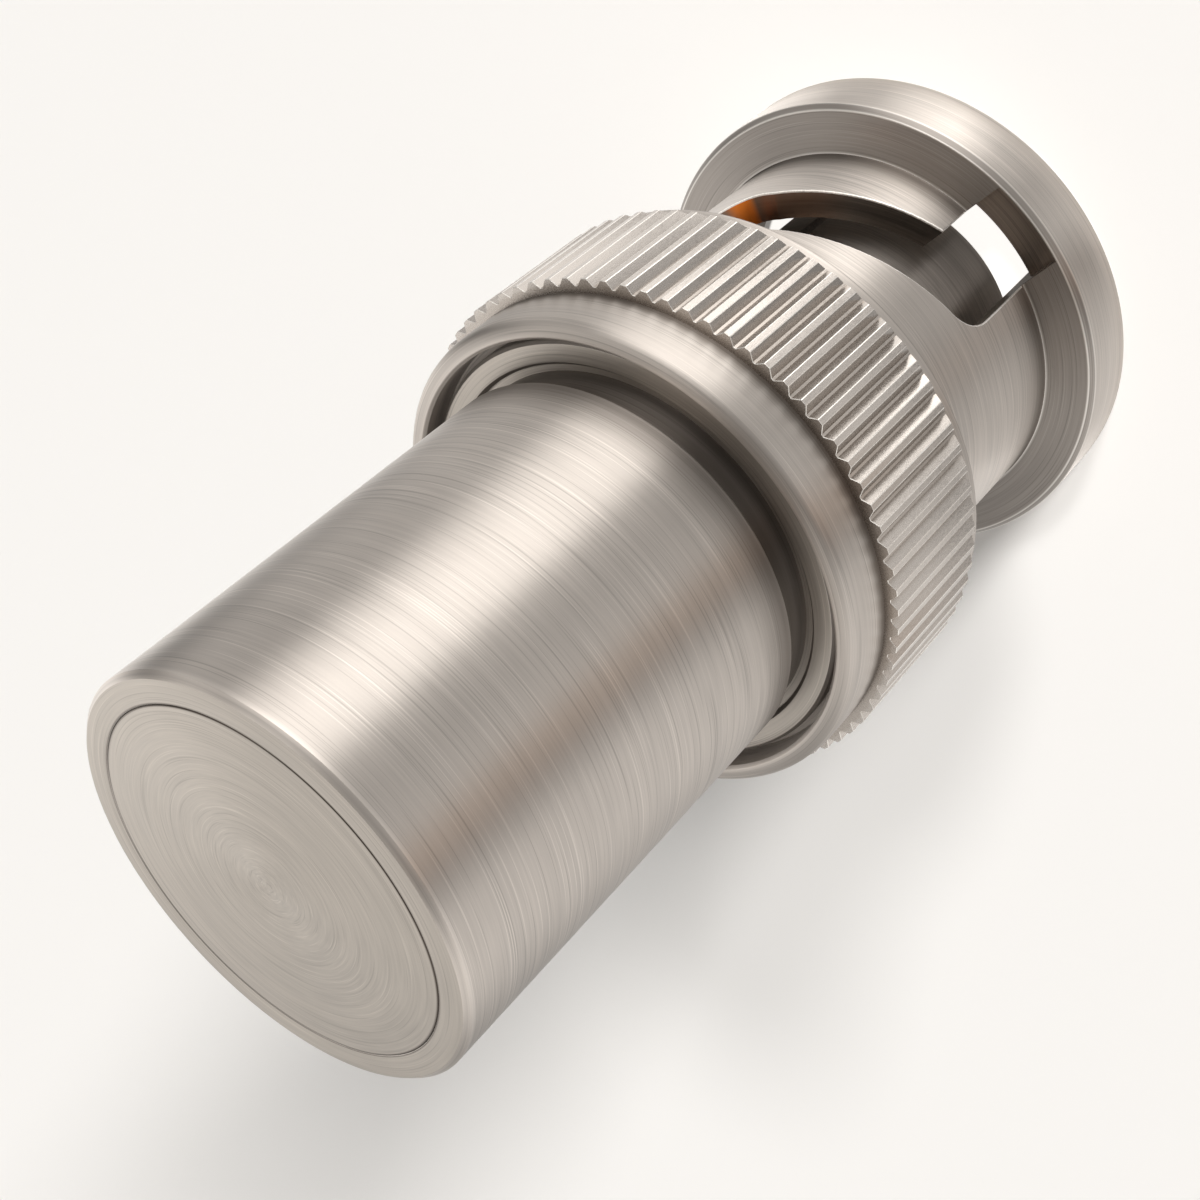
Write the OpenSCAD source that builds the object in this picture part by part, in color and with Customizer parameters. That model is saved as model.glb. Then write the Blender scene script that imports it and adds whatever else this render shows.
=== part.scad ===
// Coaxial terminator with a knurled bayonet coupling nut, standing on its mouth.
// Lengths are in millimetres. The origin is the centre of the nut's mouth rim, and +Z runs
// along the axis towards the closed rear end of the barrel.

/* [Coupling nut] */
// Length of the nut from its mouth to its rear rim
nut_length = 14.8; // [14.4:0.1:17]
// Bore that takes the barrel of the mating jack
nut_bore_d = 9.8; // [9.7:0.02:10]
// Lead-in chamfer at the mouth of the bore
mouth_chamfer = 0.3; // [0.1:0.05:0.5]
// Outside of the neck that carries the bayonet slots
neck_d = 11.36; // [11.34:0.02:12]
// Outside of the flange at the mouth
flange_d = 14.1; // [13.6:0.1:14.4]
// Straight length of the flange
flange_length = 1.5; // [1.2:0.05:1.6]
// Bevel on the flange's rear edge
flange_bevel = 0.24; // [0.1:0.02:0.3]
// Length of the cone from the flange's bevel to the neck
shoulder_length = 0.48; // [0.3:0.02:0.8]
// Outside of the rear collar
collar_d = 13.74; // [13.6:0.02:13.8]
// Length of the rear collar, from the knurl to the rear rim
collar_length = 1.5; // [1.3:0.05:2]
// Rounding of the rear collar's outer edge
collar_round = 0.36; // [0.1:0.02:0.4]
// Width of the rear rim, from the rear mouth to the collar's outside
rear_rim_w = 0.53; // [0.46:0.01:0.6]
// Chamfer at the edge of the rear mouth
rear_mouth_chamfer = 0.08; // [0.04:0.02:0.12]
// Thickness of the inward lip that runs on the body's journal
lip_t = 0.55; // [0.4:0.05:0.7]

/* [Knurl] */
// Diameter over the knurl's teeth
knurl_d = 14.5; // [14.3:0.05:15]
// Length of the knurled band
knurl_length = 4.4; // [3.6:0.1:5]
// Number of teeth round the band
knurl_teeth = 77; // [60:1:90]
// Depth of the grooves between the teeth
knurl_depth = 0.24; // [0.16:0.02:0.3]
// Least height of the grooves' roots above the rear collar
knurl_root_step = 0.04; // [0.02:0.01:0.1]
// Width of the flat land on top of each tooth
knurl_land = 0.17; // [0.09:0.02:0.23]
// Width of the smooth ring in front of the teeth
knurl_ring_w = 0.2; // [0.1:0.05:0.4]
// Step from the smooth ring up to the teeth
knurl_ring_step = 0.2; // [0.1:0.02:0.24]
// Ledge between the smooth ring's edge and the chamfered teeth
knurl_ledge = 0.03; // [0.02:0.01:0.06]

/* [Bayonet slots] */
// Diameter of the mating jack's lugs
lug_d = 2; // [1.9:0.02:2.1]
// Diameter over the mating jack's lugs
lug_span = 11.1; // [10.9:0.02:11.14]
// Room round a lug in its slot
lug_play = 0.28; // [0.1:0.02:0.36]
// Room over the end of a lug in its keyway
lug_end_play = 0.06; // [0.04:0.01:0.08]
// Extra room at the round seat where the slot ends
seat_play = 0.03; // [0.02:0.01:0.1]
// Height of the cam slot's centre line above the mouth, where it leaves the entry
cam_start = 4.3; // [4:0.1:5]
// Rise of the cam slot from the entry to its end
cam_rise = 1.72; // [1.4:0.02:2]
// Turn from the entry to the end of the slot, in degrees
cam_turn = 60; // [50:1:90]
// Width of the entry
entry_w = 2.5; // [2.4:0.05:2.8]
// Height of the entry's floor, cut into the flange's shoulder
entry_floor = 1.6; // [1.5:0.05:1.8]
// How far beyond the neck the entry is cut into the shoulder
entry_depth = 1.1; // [0.3:0.05:1.15]
// Corner radius at the blind corner of the entry
entry_corner_r = 0.55; // [0.3:0.05:0.8]
// Direction of the first entry, in degrees from +X
entry_angle = -96; // [-180:1:180]

/* [Plug body] */
// Gap round the stop ring in the nut's rear mouth
stop_ring_gap = 0.2; // [0.15:0.01:0.3]
// Thickness of the stop ring
stop_ring_t = 0.5; // [0.4:0.05:0.8]
// Width of the stop ring's rear face, from its edge to the relief
stop_ring_face = 0.67; // [0.5:0.01:0.8]
// Chamfer on the stop ring's rear edges
stop_ring_chamfer = 0.09; // [0.04:0.01:0.15]
// How far the stop ring lies inside the nut's rear rim
stop_ring_recess = 0.4; // [0.2:0.05:0.5]
// Diameter of the journal that the nut turns on
journal_d = 8.5; // [8.44:0.02:8.6]
// Depth of the retaining ring's groove
groove_depth = 0.4; // [0.3:0.02:0.46]
// Length of the neck between the stop ring and the barrel
body_neck_length = 0.7; // [0.4:0.05:1]
// Width of the relief cut at the foot of the stop ring
relief_w = 0.22; // [0.1:0.02:0.3]
// Depth of the relief cut at the foot of the stop ring
relief_depth = 0.18; // [0.1:0.02:0.25]
// Length of the spigot that the barrel is pressed on
spigot_length = 3; // [2:0.1:4]

/* [Washers and gasket] */
// Strip thickness of a wave washer
wave_t = 0.15; // [0.1:0.01:0.2]
// Height of the waves
wave_lift = 0.6; // [0.4:0.02:0.8]
// Number of waves round a washer
wave_count = 3; // [2:1:5]
// Thickness of the flat thrust washer
thrust_t = 0.2; // [0.15:0.01:0.3]
// Thickness of the retaining ring
retaining_t = 0.4; // [0.3:0.02:0.6]
// Outside diameter of the retaining ring
retaining_d = 9.5; // [9.3:0.02:9.56]
// Opening of the retaining ring, in degrees
retaining_gap = 32; // [20:1:60]
// Thickness of the gasket
gasket_t = 0.8; // [0.6:0.05:1]
// How far the gasket stands out in front of the body
gasket_proud = 0.15; // [0.05:0.01:0.3]

/* [Contacts and insulators] */
// Outside of the outer contact sleeve
sleeve_d = 8.05; // [7.96:0.01:8.1]
// Bore of the sleeve, which holds the insulators
sleeve_bore_d = 6.6; // [6.2:0.05:6.8]
// How far the sleeve's end lies inside the nut's mouth
sleeve_recess = 1.1; // [0.8:0.05:1.5]
// Diameter of the sleeve's shank in the body
shank_d = 7.2; // [7:0.02:7.4]
// Length of the sleeve's shank in the body
shank_length = 2.3; // [1.5:0.1:2.6]
// Width of the slits between the sleeve's spring fingers
slit_w = 0.4; // [0.2:0.05:0.6]
// Number of slits
slit_count = 4; // [3:1:6]
// Direction of the first slit, in degrees from +X
slit_angle = 55; // [0:1:90]
// Length of the spring fingers
finger_length = 6; // [4:0.1:7]
// Room between the fingers and the insulator
finger_room = 0.25; // [0.1:0.05:0.4]
// Chamfer at the sleeve's end
sleeve_chamfer = 0.12; // [0.05:0.01:0.2]
// Depth of the relief between the sleeve's outside and the body
sleeve_relief = 0.2; // [0.16:0.01:0.22]
// Width of that relief
sleeve_relief_w = 0.45; // [0.3:0.05:0.8]
// Diameter of the centre pin
pin_d = 1.35; // [1.3:0.01:1.4]
// How far the pin's tip lies inside the sleeve's end
pin_recess = 0.5; // [0.2:0.05:1]
// Length of the pin's tapered tip
pin_tip = 0.7; // [0.4:0.05:1]
// Diameter of the socket round the pin
socket_d = 4.83; // [4.6:0.01:5]
// Depth of the socket below the sleeve's end
socket_depth = 5.8; // [5:0.1:6.4]
// How far the insulator lies inside the sleeve's end
dielectric_recess = 0.6; // [0.3:0.05:1]
// Diameter of the pin's root, where it passes through the insulator
root_d = 1.9; // [1.7:0.05:1.95]
// How far the contact's shoulder lies in front of the body
shoulder_ahead = 1.07; // [0.5:0.01:2]
// Diameter of the contact's shoulder
shoulder_d = 2.4; // [2:0.05:3]
// Thickness of the contact's shoulder
shoulder_t = 0.8; // [0.5:0.05:1.2]
// Diameter of the contact's solder cup
cup_d = 1.9; // [1.6:0.05:1.98]
// How far the cup stands out behind the rear insulator
cup_proud = 0.6; // [0.3:0.05:1]
// Depth of the cup's hole
cup_depth = 2.6; // [2:0.1:4]

/* [Load] */
// Diameter of the resistor's rod
core_d = 2.2; // [1.8:0.05:2.6]
// Length of the resistor over its end caps
resistor_length = 6.2; // [5:0.1:6.6]
// Length of an end cap
resistor_cap_length = 1.2; // [0.8:0.05:2]
// Wall of an end cap
resistor_cap_wall = 0.15; // [0.1:0.01:0.2]
// Diameter of the resistor's leads
lead_d = 0.6; // [0.5:0.02:0.7]
// Free length of the front lead between the cup and the resistor
lead_free = 0.9; // [0.6:0.05:1.2]
// Thickness of the ground disc
ground_t = 0.5; // [0.3:0.05:0.8]
// Height of a solder fillet
solder_h = 0.4; // [0.2:0.02:0.5]
// Room for solder round a lead
lead_room = 0.08; // [0.05:0.01:0.12]

/* [Barrel] */
// Outside of the barrel
barrel_d = 10.98; // [10.9:0.02:11.4]
// Length of the barrel
barrel_length = 12.5; // [12.2:0.1:14]
// Chamfer on the barrel's rear edge
barrel_chamfer = 0.14; // [0.05:0.01:0.3]
// Chamfer on the barrel's front edge
barrel_front_chamfer = 0.2; // [0.05:0.01:0.3]
// Wall of the barrel round the load
barrel_wall = 1.29; // [1.1:0.01:1.6]
// Wall of the barrel round the body's spigot
socket_wall = 0.88; // [0.6:0.01:1.1]
// Width of the barrel's rear rim round the pressed-in end cap
barrel_rim_w = 0.77; // [0.5:0.01:1]
// Thickness of the end cap
cap_t = 1.8; // [1.4:0.05:2.2]
// Chamfer on the edges of the joint between cap and barrel
cap_chamfer = 0.07; // [0.03:0.01:0.1]

/* [Hidden] */
$fn = 96;

// Clearances: flat seats of moving pieces, running fit of the journal, washers in their chamber,
// pressed joints, gasket in the bore, cap over the solder, and a cutter past the face that it cuts
seat_gap = 0.03;
running_gap = 0.05;
washer_gap = 0.08;
press_gap = 0.01;
gasket_gap = 0.15;
solder_gap = 0.3;
past = 1;

// Heights, from the nut's rear rim down to the front of the body
stop_top = nut_length - stop_ring_recess;
stop_bottom = stop_top - stop_ring_t;
lip_top = stop_bottom - seat_gap;
lip_bottom = lip_top - lip_t;
wave_top = lip_bottom - seat_gap;
wave_stack = wave_lift + 2 * wave_t + press_gap;
wave_bottom = wave_top - wave_stack;
thrust_top = wave_bottom - seat_gap;
thrust_bottom = thrust_top - thrust_t;
retaining_top = thrust_bottom - seat_gap;
retaining_bottom = retaining_top - retaining_t;
gasket_bottom = retaining_bottom - gasket_t;
body_front = gasket_bottom + gasket_proud;

// Heights, from the stop ring up to the rear end
barrel_front = stop_top + body_neck_length;
barrel_rear = barrel_front + barrel_length;
spigot_top = barrel_front + spigot_length;
cap_bottom = barrel_rear - cap_t;
ground_bottom = cap_bottom - ground_t;

// Heights along the centre line
sleeve_front = sleeve_recess;
socket_floor = sleeve_front + socket_depth;
shoulder_bottom = body_front - shoulder_ahead;
shoulder_top = shoulder_bottom + shoulder_t;
shank_top = body_front + shank_length;
resistor_top = ground_bottom - lead_free;
resistor_bottom = resistor_top - resistor_length;
cup_top = resistor_bottom - lead_free;
dielectric_top = cup_top - cup_proud;

// Radii that pieces share
bore_r = nut_bore_d / 2;
neck_r = neck_d / 2;
collar_r = collar_d / 2;
rear_mouth_r = collar_r - rear_rim_w;
stop_r = rear_mouth_r - stop_ring_gap;
relief_r = stop_r - stop_ring_face;
body_neck_r = relief_r - relief_w;
barrel_r = barrel_d / 2;
socket_r = barrel_r - socket_wall;
spigot_r = socket_r - press_gap;
counter_r = barrel_r - barrel_rim_w;
cap_r = counter_r - press_gap;
journal_r = journal_d / 2;
lip_r = journal_r + running_gap;
groove_r = journal_r - groove_depth;
washer_r_in = journal_r + washer_gap;
washer_r_out = bore_r - washer_gap;
insulator_r = sleeve_bore_d / 2 - press_gap;
shank_r = shank_d / 2;
lead_r = lead_d / 2;
lead_hole_r = lead_r + lead_room;
core_cap_r = core_d / 2 + resistor_cap_wall;
knurl_r = knurl_d / 2;

// Knurl and bayonet slots
knurl_top = nut_length - collar_length;
knurl_bottom = knurl_top - knurl_length;
knurl_pitch = 360 / knurl_teeth;
knurl_land_angle = knurl_land / knurl_r * 180 / PI;
shoulder_foot = flange_length + flange_bevel + shoulder_length;
slot_w = lug_d + lug_play;
cam_slope = cam_rise / (cam_turn * PI / 180 * neck_r);
slot_half = slot_w / 2 * sqrt(1 + cam_slope * cam_slope);
slot_step = 3;
blind_angle = (entry_w / 2 - entry_corner_r) / neck_r * 180 / PI;
keyway_r = lug_span / 2 + lug_end_play;
wave_segments = 48;

nickel = [0.74, 0.71, 0.67];
spring_steel = [0.55, 0.54, 0.53];
gold = [0.83, 0.66, 0.33];
white_plastic = [0.94, 0.94, 0.92];
red_rubber = [0.60, 0.22, 0.14];
tin = [0.72, 0.73, 0.74];
lacquer = [0.30, 0.47, 0.55];

// Point at radius r, angle a and height z
function polar(r, a, z) = [r * cos(a), r * sin(a), z];

// Points of an arc round c, from angle a0 to a1
function arc(c, r, a0, a1, steps = 8) =
    [for (i = [0:steps]) let (a = a0 + (a1 - a0) * i / steps) c + r * [cos(a), sin(a)]];

// Height of the cam slot's centre line at a turn from the entry
function cam_height(turn) = cam_start + cam_rise * turn / cam_turn;

// Triangles that close a loop of four-cornered sections, from section i to section j
function band(i, j) = [
    for (k = [0:3]) let (n = (k + 1) % 4, a = 4 * i, b = 4 * j)
        each [[a + k, a + n, b + k], [a + n, b + n, b + k]]
];

// Solid of revolution from [radius, height] points
module turned(points) {
    rotate_extrude() polygon(points);
}

// Plain ring
module ring(r_out, r_in, bottom, top) {
    difference() {
        translate([0, 0, bottom]) cylinder(r = r_out, h = top - bottom);
        translate([0, 0, bottom - past]) cylinder(r = r_in, h = top - bottom + 2 * past);
    }
}

// Outside of the nut without its teeth
module nut_blank() {
    flange_r = flange_d / 2;
    ring_r = knurl_r - knurl_ring_step;
    turned(concat(
        [
            [0, 0],
            [flange_r - flange_bevel / 2, 0],
            [flange_r, flange_bevel / 2],
            [flange_r, flange_length],
            [flange_r - flange_bevel, flange_length + flange_bevel],
            [neck_r, shoulder_foot],
            [neck_r, knurl_bottom],
            [ring_r, knurl_bottom],
            [ring_r, knurl_bottom + knurl_ring_w],
            [neck_r, knurl_bottom + knurl_ring_w],
            [neck_r, knurl_top - knurl_ring_w],
            [collar_r, knurl_top - knurl_ring_w]
        ],
        arc([collar_r - collar_round, nut_length - collar_round], collar_round, 0, 90),
        [[0, nut_length]]
    ));
}

// Band of straight teeth with V grooves, chamfered down to the smooth ring in front
module knurl_band() {
    root_r = max(knurl_r - knurl_depth, collar_r + knurl_root_step);
    start = knurl_bottom + knurl_ring_w / 2;
    start_r = knurl_r - knurl_ring_step - knurl_ledge - knurl_ring_w / 2;
    height = knurl_top - start;
    teeth = [
        for (i = [0:knurl_teeth - 1]) each [
            root_r * [cos(i * knurl_pitch), sin(i * knurl_pitch)],
            for (side = [-1, 1]) let (a = (i + 0.5) * knurl_pitch + side * knurl_land_angle / 2)
                knurl_r * [cos(a), sin(a)]
        ]
    ];
    intersection() {
        translate([0, 0, start]) linear_extrude(height = height) polygon(teeth);
        translate([0, 0, start - past])
            cylinder(r1 = start_r - past, r2 = start_r + height + past, h = height + 2 * past);
    }
}

// Everything turned out of the inside of the nut
module nut_cavity() {
    turned([
        [0, -past],
        [bore_r + mouth_chamfer + past, -past],
        [bore_r, mouth_chamfer],
        [bore_r, lip_bottom],
        [lip_r, lip_bottom],
        [lip_r, lip_top],
        [rear_mouth_r, lip_top],
        [rear_mouth_r, nut_length - rear_mouth_chamfer],
        [rear_mouth_r + rear_mouth_chamfer + past, nut_length + past],
        [0, nut_length + past]
    ]);
}

// Helical part of one slot, as a closed sweep through the wall of the neck
module cam_sweep() {
    sweep = cam_turn + blind_angle;
    steps = ceil(sweep / slot_step);
    inside = bore_r - past;
    outside = neck_r + past;
    points = [
        for (i = [0:steps]) let (turn = sweep * i / steps - blind_angle, z = cam_height(turn)) each [
            polar(inside, turn, z - slot_half),
            polar(outside, turn, z - slot_half),
            polar(outside, turn, z + slot_half),
            polar(inside, turn, z + slot_half)
        ]
    ];
    last = 4 * steps;
    polyhedron(points, concat(
        [[2, 1, 0], [3, 2, 0]],
        [for (i = [0:steps - 1]) each band(i, i + 1)],
        [[last, last + 1, last + 2], [last, last + 2, last + 3]]
    ));
}

// Outline of the entry, with its blind corner rounded
module entry_outline() {
    top = cam_height(-blind_angle) + slot_half - seat_play;
    half = entry_w / 2;
    polygon(concat(
        [[half, entry_floor], [half, top]],
        arc([entry_corner_r - half, top - entry_corner_r], entry_corner_r, 90, 180),
        [[-half, entry_floor]]
    ));
}

// One bayonet slot: keyway through the flange, entry, cam and round seat
module bayonet_slot() {
    start = bore_r - past;
    entry_r = neck_r + entry_depth;
    intersection() {
        translate([start, 0, 0]) rotate([90, 0, 90]) linear_extrude(height = entry_r) entry_outline();
        cylinder(r = entry_r, h = nut_length);
    }
    intersection() {
        translate([start, -slot_w / 2, -past]) cube([keyway_r, slot_w, entry_floor + 2 * past]);
        translate([0, 0, -past]) cylinder(r = keyway_r, h = entry_floor + 2 * past);
    }
    cam_sweep();
    rotate([0, 0, cam_turn]) translate([start, 0, cam_height(cam_turn)]) rotate([0, 90, 0])
        cylinder(r = slot_half + seat_play, h = neck_r - bore_r + 2 * past);
}

module coupling_nut() {
    color(nickel) difference() {
        union() {
            nut_blank();
            knurl_band();
        }
        nut_cavity();
        for (side = [0, 180]) rotate([0, 0, entry_angle + side]) bayonet_slot();
    }
}

// Spring washer: a flat strip ring bent into waves, resting at a height
module wave_washer(bottom) {
    sections = [
        for (i = [0:wave_segments - 1]) let (
            a = 360 * i / wave_segments,
            z = bottom + wave_lift * (1 - cos(wave_count * a)) / 2
        ) each [
            polar(washer_r_in, a, z),
            polar(washer_r_out, a, z),
            polar(washer_r_out, a, z + wave_t),
            polar(washer_r_in, a, z + wave_t)
        ]
    ];
    polyhedron(sections, [
        for (i = [0:wave_segments - 1]) each band(i, (i + 1) % wave_segments)
    ]);
}

module wave_washer_rear() {
    color(spring_steel) wave_washer(wave_bottom + wave_t + press_gap);
}

module wave_washer_front() {
    color(spring_steel) wave_washer(wave_bottom);
}

module thrust_washer() {
    color(spring_steel) ring(washer_r_out, washer_r_in, thrust_bottom, thrust_top);
}

// Open ring that snaps into the body's groove
module retaining_ring() {
    ring_r = retaining_d / 2;
    gap_w = 2 * ring_r * sin(retaining_gap / 2);
    color(spring_steel) difference() {
        ring(ring_r, groove_r + press_gap, retaining_bottom + press_gap, retaining_top);
        translate([0, -gap_w / 2, retaining_bottom - past])
            cube([ring_r + past, gap_w, retaining_t + 2 * past]);
    }
}

module gasket() {
    color(red_rubber) ring(bore_r - gasket_gap, journal_r + press_gap, gasket_bottom, retaining_bottom);
}

// Turned body: land, ring groove, journal, stop ring, neck and press spigot
module plug_body() {
    bore = sleeve_bore_d / 2;
    color(nickel) turned([
        [shank_r + press_gap, body_front],
        [journal_r, body_front],
        [journal_r, retaining_bottom],
        [groove_r, retaining_bottom],
        [groove_r, retaining_top + press_gap],
        [journal_r, retaining_top + press_gap],
        [journal_r, stop_bottom],
        [stop_r, stop_bottom],
        [stop_r, stop_top - stop_ring_chamfer],
        [stop_r - stop_ring_chamfer, stop_top],
        [relief_r + stop_ring_chamfer, stop_top],
        [relief_r, stop_top - stop_ring_chamfer],
        [relief_r, stop_top - relief_depth],
        [body_neck_r, stop_top - relief_depth],
        [body_neck_r, barrel_front],
        [spigot_r, barrel_front],
        [spigot_r, spigot_top],
        [bore, spigot_top],
        [bore, shank_top + press_gap],
        [shank_r + press_gap, shank_top + press_gap]
    ]);
}

// Outer contact with spring fingers, shouldered against the front of the body
module contact_sleeve() {
    sleeve_r = sleeve_d / 2;
    bore = sleeve_bore_d / 2;
    root_r = sleeve_r - sleeve_relief;
    root_bottom = body_front - sleeve_relief_w;
    color(nickel) difference() {
        turned([
            [bore + sleeve_chamfer, sleeve_front],
            [sleeve_r - sleeve_chamfer, sleeve_front],
            [sleeve_r, sleeve_front + sleeve_chamfer],
            [sleeve_r, root_bottom],
            [root_r, root_bottom],
            [root_r, body_front],
            [shank_r, body_front],
            [shank_r, shank_top],
            [bore, shank_top],
            [bore, sleeve_front + sleeve_chamfer]
        ]);
        for (i = [0:slit_count - 1]) rotate([0, 0, slit_angle + i * 360 / slit_count])
            translate([0, -slit_w / 2, sleeve_front - past])
                cube([sleeve_r + past, slit_w, finger_length + past]);
    }
}

// Insulating tube with the socket round the pin
module front_dielectric() {
    tube_r = sleeve_bore_d / 2 - finger_room;
    finger_end = sleeve_front + finger_length;
    front = sleeve_front + dielectric_recess;
    root_hole_r = root_d / 2 + press_gap;
    color(white_plastic) turned([
        [socket_d / 2, front],
        [tube_r, front],
        [tube_r, finger_end],
        [insulator_r, finger_end],
        [insulator_r, shoulder_bottom],
        [root_hole_r, shoulder_bottom],
        [root_hole_r, socket_floor],
        [socket_d / 2, socket_floor]
    ]);
}

// Insulating bead that traps the contact's shoulder
module rear_dielectric() {
    pocket_r = shoulder_d / 2 + press_gap;
    cup_hole_r = cup_d / 2 + press_gap;
    front = shoulder_bottom + press_gap;
    color(white_plastic) turned([
        [pocket_r, front],
        [insulator_r, front],
        [insulator_r, dielectric_top],
        [cup_hole_r, dielectric_top],
        [cup_hole_r, shoulder_top + press_gap],
        [pocket_r, shoulder_top + press_gap]
    ]);
}

// Pin with a rounded tip, root, shoulder and solder cup, turned in one piece
module centre_contact() {
    pin_r = pin_d / 2;
    tip = sleeve_front + pin_recess;
    tip_r = pin_r / 2;
    cup_r = cup_d / 2;
    cup_floor = cup_top - cup_depth;
    root_r = root_d / 2;
    color(gold) turned(concat(
        arc([0, tip + tip_r], tip_r, -90, 0),
        [
            [pin_r, tip + pin_tip],
            [pin_r, socket_floor],
            [root_r, socket_floor],
            [root_r, shoulder_bottom + press_gap],
            [shoulder_d / 2, shoulder_bottom + press_gap],
            [shoulder_d / 2, shoulder_top],
            [cup_r, shoulder_top],
            [cup_r, cup_top],
            [lead_hole_r, cup_top],
            [lead_hole_r, cup_floor],
            [0, cup_floor]
        ]
    ));
}

// Solder round a lead: it fills the hole below a face and rises to a fillet above it
module solder_joint(face, foot_r, depth) {
    inner = lead_r + press_gap;
    bead_r = lead_hole_r - press_gap;
    turned([
        [inner, face - depth],
        [bead_r, face - depth],
        [bead_r, face + press_gap],
        [foot_r, face + press_gap],
        [inner + (foot_r - inner) / 4, face + solder_h / 2],
        [inner, face + solder_h]
    ]);
}

module front_solder() {
    color(tin) solder_joint(cup_top, cup_d / 2, cup_depth - 2 * press_gap);
}

module rear_solder() {
    color(tin) solder_joint(cap_bottom, cup_d / 2, ground_t);
}

module front_lead() {
    bottom = cup_top - cup_depth + press_gap;
    color(tin) translate([0, 0, bottom]) cylinder(r = lead_r, h = resistor_bottom - bottom);
}

module rear_lead() {
    color(tin) translate([0, 0, resistor_top]) cylinder(r = lead_r, h = cap_bottom + solder_h - resistor_top);
}

// Pressed end cap of the resistor, open upwards
module resistor_cap() {
    difference() {
        cylinder(r = core_cap_r, h = resistor_cap_length);
        translate([0, 0, resistor_cap_wall]) cylinder(r = core_d / 2 + press_gap, h = resistor_cap_length);
    }
}

module resistor_front_cap() {
    color(tin) translate([0, 0, resistor_bottom]) resistor_cap();
}

module resistor_rear_cap() {
    color(tin) translate([0, 0, resistor_top]) mirror([0, 0, 1]) resistor_cap();
}

module resistor_core() {
    inset = resistor_cap_wall + press_gap;
    color(lacquer) translate([0, 0, resistor_bottom + inset])
        cylinder(r = core_d / 2, h = resistor_length - 2 * inset);
}

module ground_disc() {
    color(tin) ring(cap_r, lead_hole_r, ground_bottom + press_gap, cap_bottom);
}

// Barrel with a press socket in front, the load's cavity, and a counterbore for disc and cap
module load_housing() {
    cavity_r = barrel_r - barrel_wall;
    front = barrel_front + press_gap;
    color(nickel) turned([
        [socket_r, front],
        [barrel_r - barrel_front_chamfer, front],
        [barrel_r, front + barrel_front_chamfer],
        [barrel_r, barrel_rear - barrel_chamfer],
        [barrel_r - barrel_chamfer, barrel_rear],
        [counter_r + cap_chamfer, barrel_rear],
        [counter_r, barrel_rear - cap_chamfer],
        [counter_r, ground_bottom],
        [cavity_r, ground_bottom],
        [cavity_r, spigot_top + press_gap],
        [socket_r, spigot_top + press_gap]
    ]);
}

// End cap, recessed inside for the rear solder joint
module end_cap() {
    recess_r = cup_d;
    recess_h = solder_h + solder_gap;
    bottom = cap_bottom + press_gap;
    color(nickel) turned([
        [0, bottom + recess_h],
        [recess_r, bottom + recess_h],
        [recess_r, bottom],
        [cap_r, bottom],
        [cap_r, barrel_rear - cap_chamfer],
        [cap_r - cap_chamfer, barrel_rear],
        [0, barrel_rear]
    ]);
}

coupling_nut();
wave_washer_rear();
wave_washer_front();
thrust_washer();
retaining_ring();
gasket();
plug_body();
contact_sleeve();
front_dielectric();
rear_dielectric();
centre_contact();
front_solder();
front_lead();
resistor_front_cap();
resistor_core();
resistor_rear_cap();
rear_lead();
rear_solder();
ground_disc();
load_housing();
end_cap();
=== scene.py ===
"""Looks of a coaxial terminator that stands on the mouth of its knurled bayonet coupling nut.

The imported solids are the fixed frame. The pieces that show are turned, knurled and slotted again
here with softened edges, the others keep their solids, and every piece gets its finish. Lengths
are in metres, with the origin at the centre of the nut's mouth rim and +Z towards the rear end.
"""

import logging
import math
from collections.abc import Callable, Iterable, Mapping, Sequence
from dataclasses import dataclass
from enum import Enum

import bpy
from mathutils import Euler, Matrix, Vector


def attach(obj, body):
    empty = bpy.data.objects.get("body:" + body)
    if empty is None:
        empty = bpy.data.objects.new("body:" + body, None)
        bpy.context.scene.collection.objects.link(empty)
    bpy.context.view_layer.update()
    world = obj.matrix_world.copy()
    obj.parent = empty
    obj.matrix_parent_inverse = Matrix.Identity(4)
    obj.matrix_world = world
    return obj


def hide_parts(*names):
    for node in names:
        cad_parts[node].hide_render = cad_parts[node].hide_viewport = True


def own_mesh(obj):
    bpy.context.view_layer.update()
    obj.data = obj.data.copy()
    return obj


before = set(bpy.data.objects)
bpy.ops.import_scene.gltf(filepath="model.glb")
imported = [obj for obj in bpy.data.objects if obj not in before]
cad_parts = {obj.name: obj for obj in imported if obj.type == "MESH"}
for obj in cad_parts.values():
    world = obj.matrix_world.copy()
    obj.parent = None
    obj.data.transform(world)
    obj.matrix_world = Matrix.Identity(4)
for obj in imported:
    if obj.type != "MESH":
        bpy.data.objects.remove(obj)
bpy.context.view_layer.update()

LOG = logging.getLogger("terminator")

MM = 0.001
MICRON = 0.001 * MM
MIDDLE = 0.5
FULL_TURN = 2 * math.pi
MATRIX_SIZE = 4
MERGE_DISTANCE = 1 * MICRON
EDGE_STEPS = 3
SMOOTH_ANGLE = math.radians(34)
AS_BESIDE = -1

RGB = tuple[float, float, float]
FaceTest = Callable[[bpy.types.MeshPolygon], bool]


class Body(Enum):
    """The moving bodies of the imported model."""

    PLUG = "plug"
    WASHERS = "washers"
    NUT = "nut"


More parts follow.
